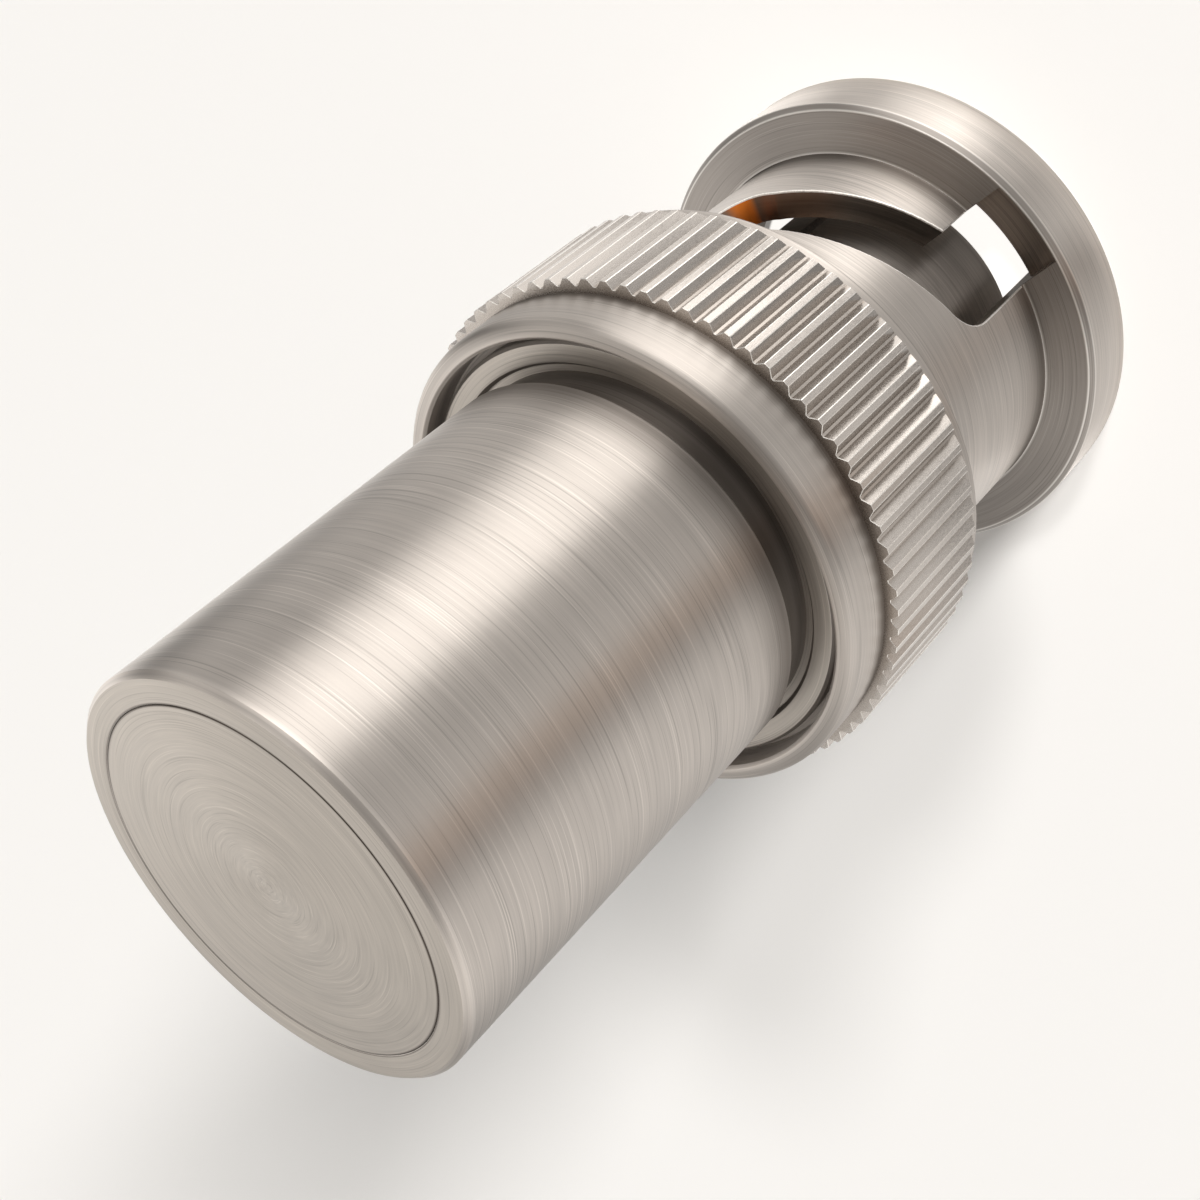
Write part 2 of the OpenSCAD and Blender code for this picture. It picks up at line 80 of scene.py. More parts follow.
class Value:
    """A number that changes over a surface: an output socket that can stand in sums."""

    def __init__(self, graph: "Graph", socket: bpy.types.NodeSocket) -> None:
        """Keep the socket and the graph that it belongs to."""
        self.graph = graph
        self.socket = socket

    def __add__(self, other: "Value | float") -> "Value":
        """Add a value or a number."""
        return self.graph.maths("ADD", self, other)

    def __radd__(self, other: float) -> "Value":
        """Add this value to a number."""
        return self.graph.maths("ADD", other, self)

    def __sub__(self, other: "Value | float") -> "Value":
        """Take a value or a number away."""
        return self.graph.maths("SUBTRACT", self, other)

    def __mul__(self, other: "Value | float") -> "Value":
        """Multiply by a value or a number."""
        return self.graph.maths("MULTIPLY", self, other)

    def __rmul__(self, other: float) -> "Value":
        """Multiply a number by this value."""
        return self.graph.maths("MULTIPLY", other, self)

    def __truediv__(self, other: "Value | float") -> "Value":
        """Divide by a value or a number."""
        return self.graph.maths("DIVIDE", self, other)

    def __rtruediv__(self, other: float) -> "Value":
        """Divide a number by this value."""
        return self.graph.maths("DIVIDE", other, self)

    def root(self) -> "Value":
        """Take the square root."""
        return self.graph.maths("POWER", self, MIDDLE)

    def __or__(self, other: "Value | float") -> "Value":
        """Take the larger of two masks."""
        return self.graph.maths("MAXIMUM", self, other)


Input = Value | float | Sequence[float]


class Graph:
    """The node graph of one material or world."""

    MIX_FACTOR = 0
    MIX_A = 6
    MIX_B = 7
    MIX_RESULT = 2

    def __init__(self, owner: bpy.types.Material | bpy.types.World) -> None:
        """Start with an empty graph.

        Args:
            owner: Material or world that the graph belongs to.
        """
        owner.use_nodes = True
        self.tree = owner.node_tree
        self.tree.nodes.clear()

    def node(
        self,
        kind: str,
        settings: Mapping[str, object],
        inputs: Mapping[str | int, Input],
        output: str | int = 0,
    ) -> Value:
        """Add one node.

        Args:
            kind: Node type.
            settings: Properties that are set before the sockets.
            inputs: Numbers, colours or links of the input sockets, by name or place.
            output: Output socket that is wanted, by name or place.

        Returns:
            The output socket as a value.
        """
        made = self.tree.nodes.new(kind)
        for name, setting in settings.items():
            setattr(made, name, setting)
        for name, given in inputs.items():
            if isinstance(given, Value):
                self.tree.links.new(given.socket, made.inputs[name])
            else:
                made.inputs[name].default_value = given
        return Value(self, made.outputs[output] if made.outputs else None)

    def maths(self, operation: str, first: Value | float, second: Value | float) -> Value:
        """Add a Math node for two operands."""
        return self.node("ShaderNodeMath", {"operation": operation}, {0: first, 1: second})

    def split(self, vector: Value) -> tuple[Value, Value, Value]:
        """Split a vector.

        Args:
            vector: Vector to be split.

        Returns:
            Its three components.
        """
        made = self.node("ShaderNodeSeparateXYZ", {}, {0: vector})
        outputs = made.socket.node.outputs
        return Value(self, outputs[0]), Value(self, outputs[1]), Value(self, outputs[2])

    def join(self, x: Value | float, y: Value | float, z: Value | float) -> Value:
        """Join three components to a vector."""
        return self.node("ShaderNodeCombineXYZ", {}, {0: x, 1: y, 2: z})

    def blend(self, factor: Value | float, low: Input, high: Input) -> Value:
        """Mix two colours by a factor.

        Args:
            factor: Share of the second colour.
            low: First colour.
            high: Second colour.

        Returns:
            The mixed colour.
        """
        inputs = {self.MIX_FACTOR: factor, self.MIX_A: low, self.MIX_B: high}
        return self.node("ShaderNodeMix", {"data_type": "RGBA"}, inputs, self.MIX_RESULT)

    def noise(self, vector: Value, scale: float, detail: float, w: Value | float = 0.0) -> Value:
        """Add a noise texture.

        Args:
            vector: Place that is looked up.
            scale: Number of grains to a unit.
            detail: Number of finer layers.
            w: Fourth coordinate.

        Returns:
            Noise from 0 to 1.
        """
        inputs = {"Vector": vector, "W": w, "Scale": scale, "Detail": detail}
        return self.node("ShaderNodeTexNoise", {"noise_dimensions": "4D"}, inputs, "Fac")

    def fade(self, value: Value, start: float, end: float) -> Value:
        """Fade from 1 at start to 0 at end.

        Args:
            value: Value that is looked at.
            start: Value up to which the result is 1.
            end: Value from which the result is 0.

        Returns:
            The smooth mask.
        """
        inputs = {0: value, 1: start, 2: end, 3: 1.0, 4: 0.0}
        return self.node("ShaderNodeMapRange", {"interpolation_type": "SMOOTHSTEP"}, inputs)

    def place(self) -> Value:
        """Give the place on the piece."""
        return self.node("ShaderNodeTexCoord", {}, {}, "Object")

    def bump(self, height: Value, depth: float) -> Value:
        """Turn a height into a bumped normal."""
        return self.node("ShaderNodeBump", {}, {"Height": height, "Distance": depth, "Strength": 1.0})

    def surface(self, inputs: Mapping[str | int, Input]) -> None:
        """End the graph in a Principled shader.

        Args:
            inputs: Numbers, colours or links of the shader's sockets.
        """
        shader = self.node("ShaderNodeBsdfPrincipled", {}, inputs)
        self.node("ShaderNodeOutputMaterial", {}, {"Surface": shader})


def opaque(colour: RGB, level: float = 1.0) -> tuple[float, float, float, float]:
    """Give a colour, scaled by a level, its alpha."""
    return colour[0] * level, colour[1] * level, colour[2] * level, 1.0


@dataclass(frozen=True)
class Ring:
    """A ring on a turned piece, such as an edge or an inner corner, and how far its look reaches."""

    radius: float
    height: float
    reach: float

    def mask(self, graph: Graph, radius: Value, height: Value) -> Value:
        """Mask the surroundings of the ring.

        Args:
            graph: Graph that the nodes go to.
            radius: Distance from the axis.
            height: Height above the mouth.

        Returns:
            Mask that is 1 on the ring.
        """
        out = radius - self.radius
        up = height - self.height
        return graph.fade((out * out + up * up).root(), 0.0, self.reach)


def ring_mask(graph: Graph, radius: Value, height: Value, rings: Sequence[Ring]) -> Value | float:
    """Mask several rings.

    Args:
        graph: Graph that the nodes go to.
        radius: Distance from the axis.
        height: Height above the mouth.
        rings: Rings of the piece.

    Returns:
        Mask from 0 to 1, or 0 where there are no rings.
    """
    mask: Value | float = 0.0
    for ring in rings:
        mask = ring.mask(graph, radius, height) | mask
    return mask


@dataclass(frozen=True)
class Glow:
    """A painted warm reflection inside a slot, at an angle round the axis and opposite."""

    angle: float
    full: float
    reach: float
    colour: RGB
    share: float

    def mask(self, graph: Graph, x: Value, y: Value, radius: Value) -> Value:
        """Mask the surroundings of the angle.

        Args:
            graph: Graph that the nodes go to.
            x: First coordinate.
            y: Second coordinate.
            radius: Distance from the axis.

        Returns:
            Mask up to the glow's share.
        """
        facing = (x * math.cos(self.angle) + y * math.sin(self.angle)) / radius
        return graph.fade(facing * facing, math.cos(self.full) ** 2, math.cos(self.reach) ** 2) * self.share


class Finish:
    """What the finishes share: a named material, over which each finish draws its own look."""

    FULL_METAL = 1.0
    DARK = 0.72
    PALE = 1.28
    SPREAD = 2.0

    def material(self, name: str) -> bpy.types.Material:
        """Make the material.

        Args:
            name: Name of the material.

        Returns:
            The material.
        """
        made = bpy.data.materials.new(name)
        self.draw(Graph(made))
        return made

    def draw(self, graph: Graph) -> None:
        """Draw the look.

        Args:
            graph: Empty graph of the material.
        """
        raise NotImplementedError

    def streaked(self, graph: Graph, colour: RGB, shade: Value) -> Value:
        """Vary a colour from dark to pale.

        Args:
            graph: Graph that the nodes go to.
            colour: Middle tone.
            shade: Noise round 0.

        Returns:
            The varied colour.
        """
        spread = shade * self.SPREAD
        return graph.blend(MIDDLE + spread, opaque(colour, self.DARK), opaque(colour, self.PALE))


@dataclass(frozen=True)
class TurnedMetal(Finish):
    """Plated metal brushed round its axis, with painted highlights along its edges, painted shade round its
    inner corners, dark joint lines and painted reflections in its slots.
    """

    colour: RGB
    roughness: float = 0.40
    anisotropy: float = 0.90
    line_pitch: float = 0.06 * MM
    line_turn: float = 2.6
    line_rise: float = 1.0
    line_depth: float = 1.6 * MICRON
    contrast: float = 0.17
    scratch_share: float = 0.42
    edges: tuple[Ring, ...] = ()
    edge_colour: RGB | None = None
    corners: tuple[Ring, ...] = ()
    corner_share: float = 1.0
    glows: tuple[Glow, ...] = ()

    ACROSS = 0.25
    BAND = 9.0
    THREAD = 0.55
    BLOTCH_SCALE = 260.0
    FINE_LAYERS = 2.0
    BROAD_LAYERS = 1.0
    BLOTCH_LAYERS = 3.0
    FINE_WEIGHT = 2.0
    SCRATCH_DARK = (0.30, 0.42, 0.45)
    SCRATCH_PALE = (0.70, 0.60, 1.5)
    # Painted highlight on the edge rings: how much lighter, and how it varies.
    EDGE_LEVEL = 1.32
    EDGE_HIGHLIGHT_SPREAD = (0.35, 0.9)
    # Painted shade round the corner rings; at a joint ring it draws the dark joint line.
    CORNER_SHADE_BLOTCH = (0.55, 0.5)
    CORNER_COLOUR = (0.11, 0.09, 0.075)
    ROUGH_FINE = 0.16
    ROUGH_BROAD = 0.1

    def draw(self, graph: Graph) -> None:
        """Draw the look.

        Args:
            graph: Empty graph of the material.
        """
        place = graph.place()
        x, y, z = graph.split(place)
        radius = (x * x + y * y + MERGE_DISTANCE * MERGE_DISTANCE).root()
        drawn = (x, y, z / self.line_rise, radius)
        fine = self.lines(graph, drawn, self.line_turn, self.line_pitch, self.FINE_LAYERS)
        broad = self.lines(graph, drawn, 1.0, self.line_pitch * self.BAND, self.BROAD_LAYERS)
        thin = self.lines(graph, drawn, 1.0, self.line_pitch * self.THREAD, self.BROAD_LAYERS)
        blotch = graph.noise(place, self.BLOTCH_SCALE, self.BLOTCH_LAYERS)
        shade = (fine - MIDDLE) * self.FINE_WEIGHT + (broad - MIDDLE) + (blotch - MIDDLE)
        tone = self.streaked(graph, self.colour, shade * self.contrast)
        for start, end, level in (self.SCRATCH_DARK, self.SCRATCH_PALE):
            scratch = graph.fade(thin, start, end) * self.scratch_share
            tone = graph.blend(scratch, tone, opaque(self.colour, level))
        # Painted highlight: lighten the colour along the edge rings.
        least, more = self.EDGE_HIGHLIGHT_SPREAD
        edge_highlight = ring_mask(graph, radius, z, self.edges) * (least + more * fine)
        bright = opaque(self.edge_colour) if self.edge_colour else opaque(self.colour, self.EDGE_LEVEL)
        tone = graph.blend(edge_highlight, tone, bright)
        # Painted shade: darken the colour round the corner rings; at a joint ring this is the dark joint
        # line.
        least, more = self.CORNER_SHADE_BLOTCH
        stain_and_shade = ring_mask(graph, radius, z, self.corners) * ((least + more * blotch) * self.corner_share)
        tone = graph.blend(stain_and_shade, tone, opaque(self.CORNER_COLOUR))
        # Painted reflections: warm glows inside the slots.
        for glow in self.glows:
            tone = graph.blend(glow.mask(graph, x, y, radius), tone, opaque(glow.colour))
        uneven = (fine - MIDDLE) * self.ROUGH_FINE + (broad - MIDDLE) * self.ROUGH_BROAD
        graph.surface({
            "Base Color": tone,
            "Metallic": self.FULL_METAL,
            "Roughness": self.roughness + uneven,
            "Anisotropic": self.anisotropy,
            "Anisotropic Rotation": self.ACROSS,
            "Normal": graph.bump(fine, self.line_depth),
        })

    @staticmethod
    def lines(graph: Graph, place: Sequence[Value], turn: float, pitch: float, detail: float) -> Value:
        """Make noise that is drawn out to lines round the axis.

        Args:
            graph: Graph that the nodes go to.
            place: Coordinates x, y and z, and the distance from the axis.
            turn: How often the lines change round the axis.
            pitch: Spacing of the lines.
            detail: Number of finer layers.

        Returns:
            Noise from 0 to 1.
        """
        x, y, z, radius = place
        along = turn / radius
        return graph.noise(graph.join(x * along, y * along, z / pitch), 1.0, detail, radius / pitch)


@dataclass(frozen=True)
class GrainedMetal(Finish):
    """Plated metal with a fine satin grain, drawn out along the axis."""

    colour: RGB
    roughness: float = 0.27
    grain: float = 0.045 * MM
    stretch: float = 3.0
    depth: float = 2.0 * MICRON
    contrast: float = 0.2
    floor_r: float = 0.0
    floor_w: float = 0.2 * MM
    floor_share: float = 0.0
    floor_colour: RGB = (0.30, 0.24, 0.19)
    flank_share: float = 0.0

    # Painted shade on the flank of each tooth that faces one way round the axis.
    FLANK = (-0.5, -0.3)
    FLANK_LEVEL = 0.5
    BLOTCH_SCALE = 380.0
    LAYERS = 3.0
    FINE_WEIGHT = 2.0
    ROUGH_FINE = 0.2

    def draw(self, graph: Graph) -> None:
        """Draw the look.

        Args:
            graph: Empty graph of the material.
        """
        place = graph.place()
        x, y, z = graph.split(place)
        radius = (x * x + y * y).root()
        fine = graph.noise(graph.join(x, y, z / self.stretch), 1.0 / self.grain, self.LAYERS)
        blotch = graph.noise(place, self.BLOTCH_SCALE, self.LAYERS)
        shade = (fine - MIDDLE) * self.FINE_WEIGHT + (blotch - MIDDLE)
        tone = self.streaked(graph, self.colour, shade * self.contrast)
        # Darker and browner towards the grooves' roots.
        deep = graph.fade(radius, self.floor_r, self.floor_r + self.floor_w) * (blotch * self.floor_share)
        tone = graph.blend(deep, tone, opaque(self.floor_colour))
        # Painted shade: faces that face one way round the axis, one flank of each tooth, are darkened.
        facing_x, facing_y, _ = graph.split(graph.node("ShaderNodeTexCoord", {}, {}, "Normal"))
        round_axis = (x * facing_y - y * facing_x) / radius
        flank = graph.fade(round_axis, *self.FLANK) * self.flank_share
        tone = graph.blend(flank, tone, opaque(self.colour, self.FLANK_LEVEL))
        graph.surface({
            "Base Color": tone,
            "Metallic": self.FULL_METAL,
            "Roughness": self.roughness + (fine - MIDDLE) * self.ROUGH_FINE,
            "Normal": graph.bump(fine, self.depth),
        })


@dataclass(frozen=True)
class FlatMetal(Finish):
    """Small metal pieces: stamped spring steel, tinned wire, solder and gold plate."""

    colour: RGB
    tarnish: RGB
    roughness: float
    grain: float = 0.06 * MM
    depth: float = 1.0 * MICRON

    BLOTCH_SCALE = 700.0
    FINE_LAYERS = 3.0
    BLOTCH_LAYERS = 4.0
    STAIN = (0.62, 0.38)
    STAIN_SHARE = 0.6
    FINE_SHARE = 0.3
    ROUGH_FINE = 0.2
    ROUGH_STAIN = 0.1

    def draw(self, graph: Graph) -> None:
        """Draw the look.

        Args:
            graph: Empty graph of the material.
        """
        place = graph.place()
        fine = graph.noise(place, 1.0 / self.grain, self.FINE_LAYERS)
        stain = graph.fade(graph.noise(place, self.BLOTCH_SCALE, self.BLOTCH_LAYERS), *self.STAIN)
        uneven = fine - MIDDLE
        stain_and_shade = self.STAIN_SHARE * stain + self.FINE_SHARE * uneven
        graph.surface({
            "Base Color": graph.blend(stain_and_shade, opaque(self.colour), opaque(self.tarnish)),
            "Metallic": self.FULL_METAL,
            "Roughness": self.roughness + self.ROUGH_FINE * uneven + self.ROUGH_STAIN * stain,
            "Normal": graph.bump(fine, self.depth),
        })


@dataclass(frozen=True)
class SoftPlastic(Finish):
    """Pieces that aren't metal: waxy insulator, rubber and lacquer."""

    colour: RGB
    shade: RGB
    roughness: float
    grain: float = 0.12 * MM
    depth: float = 3.0 * MICRON
    coat: float = 0.0

    BLOTCH_SCALE = 450.0
    LAYERS = 3.0
    ROUGH_FINE = 0.25

    def draw(self, graph: Graph) -> None:
        """Draw the look.

        Args:
            graph: Empty graph of the material.
        """
        place = graph.place()
        fine = graph.noise(place, 1.0 / self.grain, self.LAYERS)
        blotch = graph.noise(place, self.BLOTCH_SCALE, self.LAYERS)
        graph.surface({
            "Base Color": graph.blend(blotch, opaque(self.colour), opaque(self.shade)),
            "Roughness": self.roughness + self.ROUGH_FINE * (fine - MIDDLE),
            "Coat Weight": self.coat,
            "Normal": graph.bump(fine, self.depth),
        })


@dataclass(frozen=True)
class Corner:
    """One corner of a turned profile, with the rounding of its edge."""

    radius: float
    height: float
    edge: float = 0.0

    def place(self) -> Vector:
        """Give the corner as a point of the profile."""
        return Vector((self.radius, self.height))


def softened(corners: Sequence[Corner], closed: bool) -> list[Vector]:
    """Round the edges of a profile.

    Args:
        corners: Corners in order.
        closed: Whether the last corner joins the first.

    Returns:
        Points of the profile, with a short arc at each rounded corner.
    """
    points: list[Vector] = []
    last = len(corners) - 1
    for number, corner in enumerate(corners):
        here = corner.place()
        at_end = not closed and number in (0, last)
        if corner.edge == 0.0 or at_end:
            points.append(here)
            continue
        back = (corners[number - 1].place() - here).normalized()
        on = (corners[(number + 1) % len(corners)].place() - here).normalized()
        reach = corner.edge * math.tan((math.pi - back.angle(on)) / 2)
        start = here + back * reach
        end = here + on * reach
        for step in range(EDGE_STEPS + 1):
            share = step / EDGE_STEPS
            points.append(start.lerp(here, share).lerp(here.lerp(end, share), share))
    return points


def about_axis(angle: float) -> Matrix:
    """Give the turn by an angle about the part's axis."""
    return Matrix.Rotation(angle, MATRIX_SIZE, "Z")


class Bench:
    """The modelling steps that the pieces share."""

    @staticmethod
    def select_only(piece: bpy.types.Object) -> None:
        """Make a piece the only selected and the active object."""
        bpy.ops.object.select_all(action="DESELECT")
        piece.select_set(True)
        bpy.context.view_layer.objects.active = piece

    @staticmethod
    def name(piece: bpy.types.Object, name: str) -> None:
        """Name a piece and its mesh."""
        piece.name = name
        piece.data.name = name

    @staticmethod
    def select(piece: bpy.types.Object, mode: str, indices: Iterable[int]) -> None:
        """Select vertices, edges or faces and go into edit mode.

        Args:
            piece: Object that is edited.
            mode: VERT, EDGE or FACE.
            indices: Which of them are selected.
        """
        Bench.select_only(piece)
        bpy.ops.object.mode_set(mode="EDIT")
        bpy.ops.mesh.select_mode(type=mode)
        bpy.ops.mesh.select_all(action="DESELECT")
        bpy.ops.object.mode_set(mode="OBJECT")
        parts = {"VERT": piece.data.vertices, "EDGE": piece.data.edges, "FACE": piece.data.polygons}[mode]
        for index in indices:
            parts[index].select = True
        bpy.ops.object.mode_set(mode="EDIT")

    @staticmethod
    def turn(name: str, corners: Sequence[Corner], segments: int, closed: bool = True) -> bpy.types.Object:
        """Turn a piece from its profile.

        Args:
            name: Name of the piece.
            corners: Profile from the front, outside first.
            segments: Number of steps round the axis.
            closed: Whether the profile closes on itself; otherwise its ends are filled on the axis.

        Returns:
            The turned piece.
        """
        points = softened(corners, closed)
        if closed:
            points.append(points[0])
        bpy.ops.object.select_all(action="DESELECT")
        radius, height = points[0]
        bpy.ops.mesh.primitive_circle_add(vertices=segments, radius=radius, location=(0, 0, height))
        piece = bpy.context.object
        Bench.name(piece, name)
        bpy.ops.object.transform_apply(location=True, rotation=True, scale=True)
        bpy.ops.object.mode_set(mode="EDIT")
        bpy.ops.mesh.select_mode(type="EDGE")
        bpy.ops.mesh.select_all(action="SELECT")
        for before, after in zip(points, points[1:]):
            bpy.ops.mesh.extrude_region_move(TRANSFORM_OT_translate={"value": (0, 0, after.y - before.y)})
            growth = after.x / before.x
            bpy.ops.transform.resize(value=(growth, growth, 1), center_override=(0, 0, after.y))
        bpy.ops.mesh.select_all(action="SELECT")
        bpy.ops.mesh.remove_doubles(threshold=MERGE_DISTANCE)
        if not closed:
            bpy.ops.mesh.select_all(action="SELECT")
            bpy.ops.mesh.fill_holes(sides=0)
        bpy.ops.mesh.select_all(action="SELECT")
        bpy.ops.mesh.normals_make_consistent(inside=False)
        bpy.ops.object.mode_set(mode="OBJECT")
        return piece

    @staticmethod
    def block(low: Sequence[float], high: Sequence[float]) -> bpy.types.Object:
        """Make a block between two corners, as a cutter.

        Args:
            low: Lowest corner.
            high: Highest corner.

        Returns:
            The block, with its place in its mesh.
        """
        bpy.ops.object.select_all(action="DESELECT")
        middle = (Vector(low) + Vector(high)) / 2
        size = Vector(high) - Vector(low)
        bpy.ops.mesh.primitive_cube_add(size=1, location=middle, scale=size)
        bpy.ops.object.transform_apply(location=True, rotation=True, scale=True)
        return bpy.context.object

    @staticmethod
    def copies(cutter: bpy.types.Object, angles: Sequence[float]) -> bpy.types.Object:
        """Repeat a cutter round the axis and join the copies.

        Args:
            cutter: Cutter at angle 0.
            angles: Angles of the copies, in radians.

        Returns:
            One object that holds all the copies.
        """
        turned = []
        for angle in angles:
            copy = cutter.copy()
            copy.data = cutter.data.copy()
            bpy.context.collection.objects.link(copy)
            copy.data.transform(about_axis(angle))
            turned.append(copy)
        bpy.data.objects.remove(cutter)
        bpy.ops.object.select_all(action="DESELECT")
        for copy in turned:
            copy.select_set(True)
        bpy.context.view_layer.objects.active = turned[0]
        bpy.ops.object.join()
        return turned[0]

    @staticmethod
    def combine(piece: bpy.types.Object, tool: bpy.types.Object, operation: str = "DIFFERENCE") -> None:
        """Cut a piece with a tool, which is used up.

        Args:
            piece: Piece that is cut.
            tool: Cutter.
            operation: Boolean operation.
        """
        Bench.select_only(piece)
        bpy.ops.object.modifier_add(type="BOOLEAN")
        modifier = piece.modifiers[-1]
        modifier.operation = operation
        modifier.solver = "EXACT"
        modifier.material_mode = "TRANSFER"
        modifier.object = tool
        bpy.ops.object.modifier_apply(modifier=modifier.name)
        bpy.data.objects.remove(tool)

    @staticmethod
    def break_edges(
        piece: bpy.types.Object, edges: Iterable[int], width: float, steps: int, finish: int = AS_BESIDE
    ) -> None:
        """Bevel some edges of a piece.

        Args:
            piece: Piece that is bevelled.
            edges: Edges by number.
            width: Width of the bevel on each side.
            steps: Number of faces across the bevel.
            finish: Place of the bevel's finish among the materials.
        """
        Bench.select(piece, "EDGE", edges)
        bpy.ops.mesh.bevel(
            offset=width,
            segments=steps,
            affect="EDGES",
            clamp_overlap=False,
            loop_slide=False,
            material=finish,
        )
        bpy.ops.object.mode_set(mode="OBJECT")

    @staticmethod
    def smooth(piece: bpy.types.Object) -> None:
        """Shade a piece smooth, with flat faces kept flat beside their rounded edges."""
        Bench.select_only(piece)
        bpy.ops.object.shade_smooth_by_angle(angle=SMOOTH_ANGLE)
        bpy.ops.object.modifier_add(type="WEIGHTED_NORMAL")
        modifier = piece.modifiers[-1]
        modifier.keep_sharp = True
        bpy.ops.object.modifier_apply(modifier=modifier.name)

    @staticmethod
    def finish(piece: bpy.types.Object, finish: Finish, name: str) -> bpy.types.Object:
        """Give a turned piece its one finish and its shading.

        Args:
            piece: Piece that is dressed.
            finish: Finish of all its faces.
            name: Name of the material.

        Returns:
            The finished piece.
        """
        piece.data.materials.append(finish.material(name))
        Bench.smooth(piece)
        return piece

    @staticmethod
    def keep_shading(piece: bpy.types.Object, blank: bpy.types.Object, kept: Sequence[int]) -> None:
        """Take the shading of an uncut blank, which is used up, over to what is left of its surface.

        Args:
            piece: Piece that was cut from the blank.
            blank: The blank with its shading.
            kept: Vertices of the piece that lie on the blank's surface.
        """
        group = piece.vertex_groups.new(name="kept_surface")
        group.add(kept, 1.0, "REPLACE")
        Bench.select_only(piece)
        bpy.ops.object.modifier_add(type="DATA_TRANSFER")
        modifier = piece.modifiers[-1]
        modifier.object = blank
        modifier.use_loop_data = True
        modifier.data_types_loops = {"CUSTOM_NORMAL"}
        modifier.loop_mapping = "POLYINTERP_NEAREST"
        modifier.vertex_group = group.name
        bpy.ops.object.modifier_apply(modifier=modifier.name)
        piece.vertex_groups.clear()
        bpy.data.objects.remove(blank)

    @staticmethod
    def finish_where(piece: bpy.types.Object, material: bpy.types.Material, test: FaceTest) -> None:
        """Give some faces of a piece a further finish.

        Args:
            piece: Piece that is dressed.
            material: Finish.
            test: Which faces get it.
        """
        piece.data.materials.append(material)
        index = len(piece.data.materials) - 1
        for face in piece.data.polygons:
            if test(face):
                face.material_index = index

    @staticmethod
    def deliver(piece: bpy.types.Object, body: Body, node: str, slot: str) -> None:
        """Put a finished piece in the place of its solid.

        Args:
            piece: Finished piece.
            body: Body that it moves with.
            node: Solid that it stands for.
            slot: Not used.
        """
        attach(piece, body.value)
        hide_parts(node)
        LOG.info("%s: %d faces", piece.name, len(piece.data.polygons))


NICKEL: RGB = (0.56, 0.515, 0.475)
NICKEL_FACE: RGB = (0.56, 0.515, 0.465)
NICKEL_KNURL: RGB = (0.60, 0.555, 0.515)
# Painted shade: the slot walls' colour, a dark copy of the nickel.
NICKEL_SLOT_SHADE: RGB = (0.20, 0.17, 0.145)
# Painted shade: the entries' floors' colour.
NICKEL_POCKET_SHADE: RGB = (0.44, 0.375, 0.325)
# Painted highlight: the colour of the edges' highlights.
NICKEL_EDGE: RGB = (0.92, 0.88, 0.83)
NICKEL_SLEEVE: RGB = (0.52, 0.475, 0.435)
# Painted shade: the colour of the nut's shoulder cone and of the plug body.
NICKEL_SHADE: RGB = (0.34, 0.31, 0.285)
# Painted reflections inside the slots: a warm glow and the red gasket's gleam.
SLOT_WARM_REFLECTION: RGB = (0.24, 0.15, 0.10)
GASKET_GLEAM: RGB = (0.95, 0.26, 0.03)
RIM_SHINE = 0.16 * MM
GOLD_PLATE = FlatMetal((0.80, 0.60, 0.27), (0.62, 0.42, 0.17), roughness=0.24)
SPRING_STEEL = FlatMetal((0.45, 0.44, 0.43), (0.30, 0.27, 0.24), roughness=0.34)
SATIN_TIN = FlatMetal((0.68, 0.69, 0.70), (0.52, 0.52, 0.51), roughness=0.38)
BRIGHT_SOLDER = FlatMetal((0.66, 0.67, 0.69), (0.50, 0.50, 0.50), roughness=0.22, grain=0.15 * MM)
WHITE_INSULATOR = SoftPlastic((0.86, 0.86, 0.83), (0.78, 0.78, 0.74), roughness=0.42)
RED_SILICONE = SoftPlastic((0.40, 0.10, 0.06), (0.30, 0.07, 0.04), roughness=0.62)
BLUE_LACQUER = SoftPlastic((0.20, 0.37, 0.47), (0.15, 0.29, 0.38), roughness=0.34, coat=0.6)
FACED = TurnedMetal(NICKEL_FACE, roughness=0.42, anisotropy=0.5)
JOINT_R = 4.715 * MM
JOINT_HEIGHT = 27.6 * MM
JOINT_DIRT = 0.07 * MM
JOINTED = TurnedMetal(
    NICKEL_FACE,
    roughness=0.42,
    anisotropy=0.5,
    scratch_share=0.3,
    corners=(Ring(JOINT_R, JOINT_HEIGHT, JOINT_DIRT),),
    corner_share=1.4,
)
FLAT_NORMAL = 0.8


def is_flat(face: bpy.types.MeshPolygon) -> bool:
    """Tell whether a face lies square to the axis."""
    return abs(face.normal.z) > FLAT_NORMAL


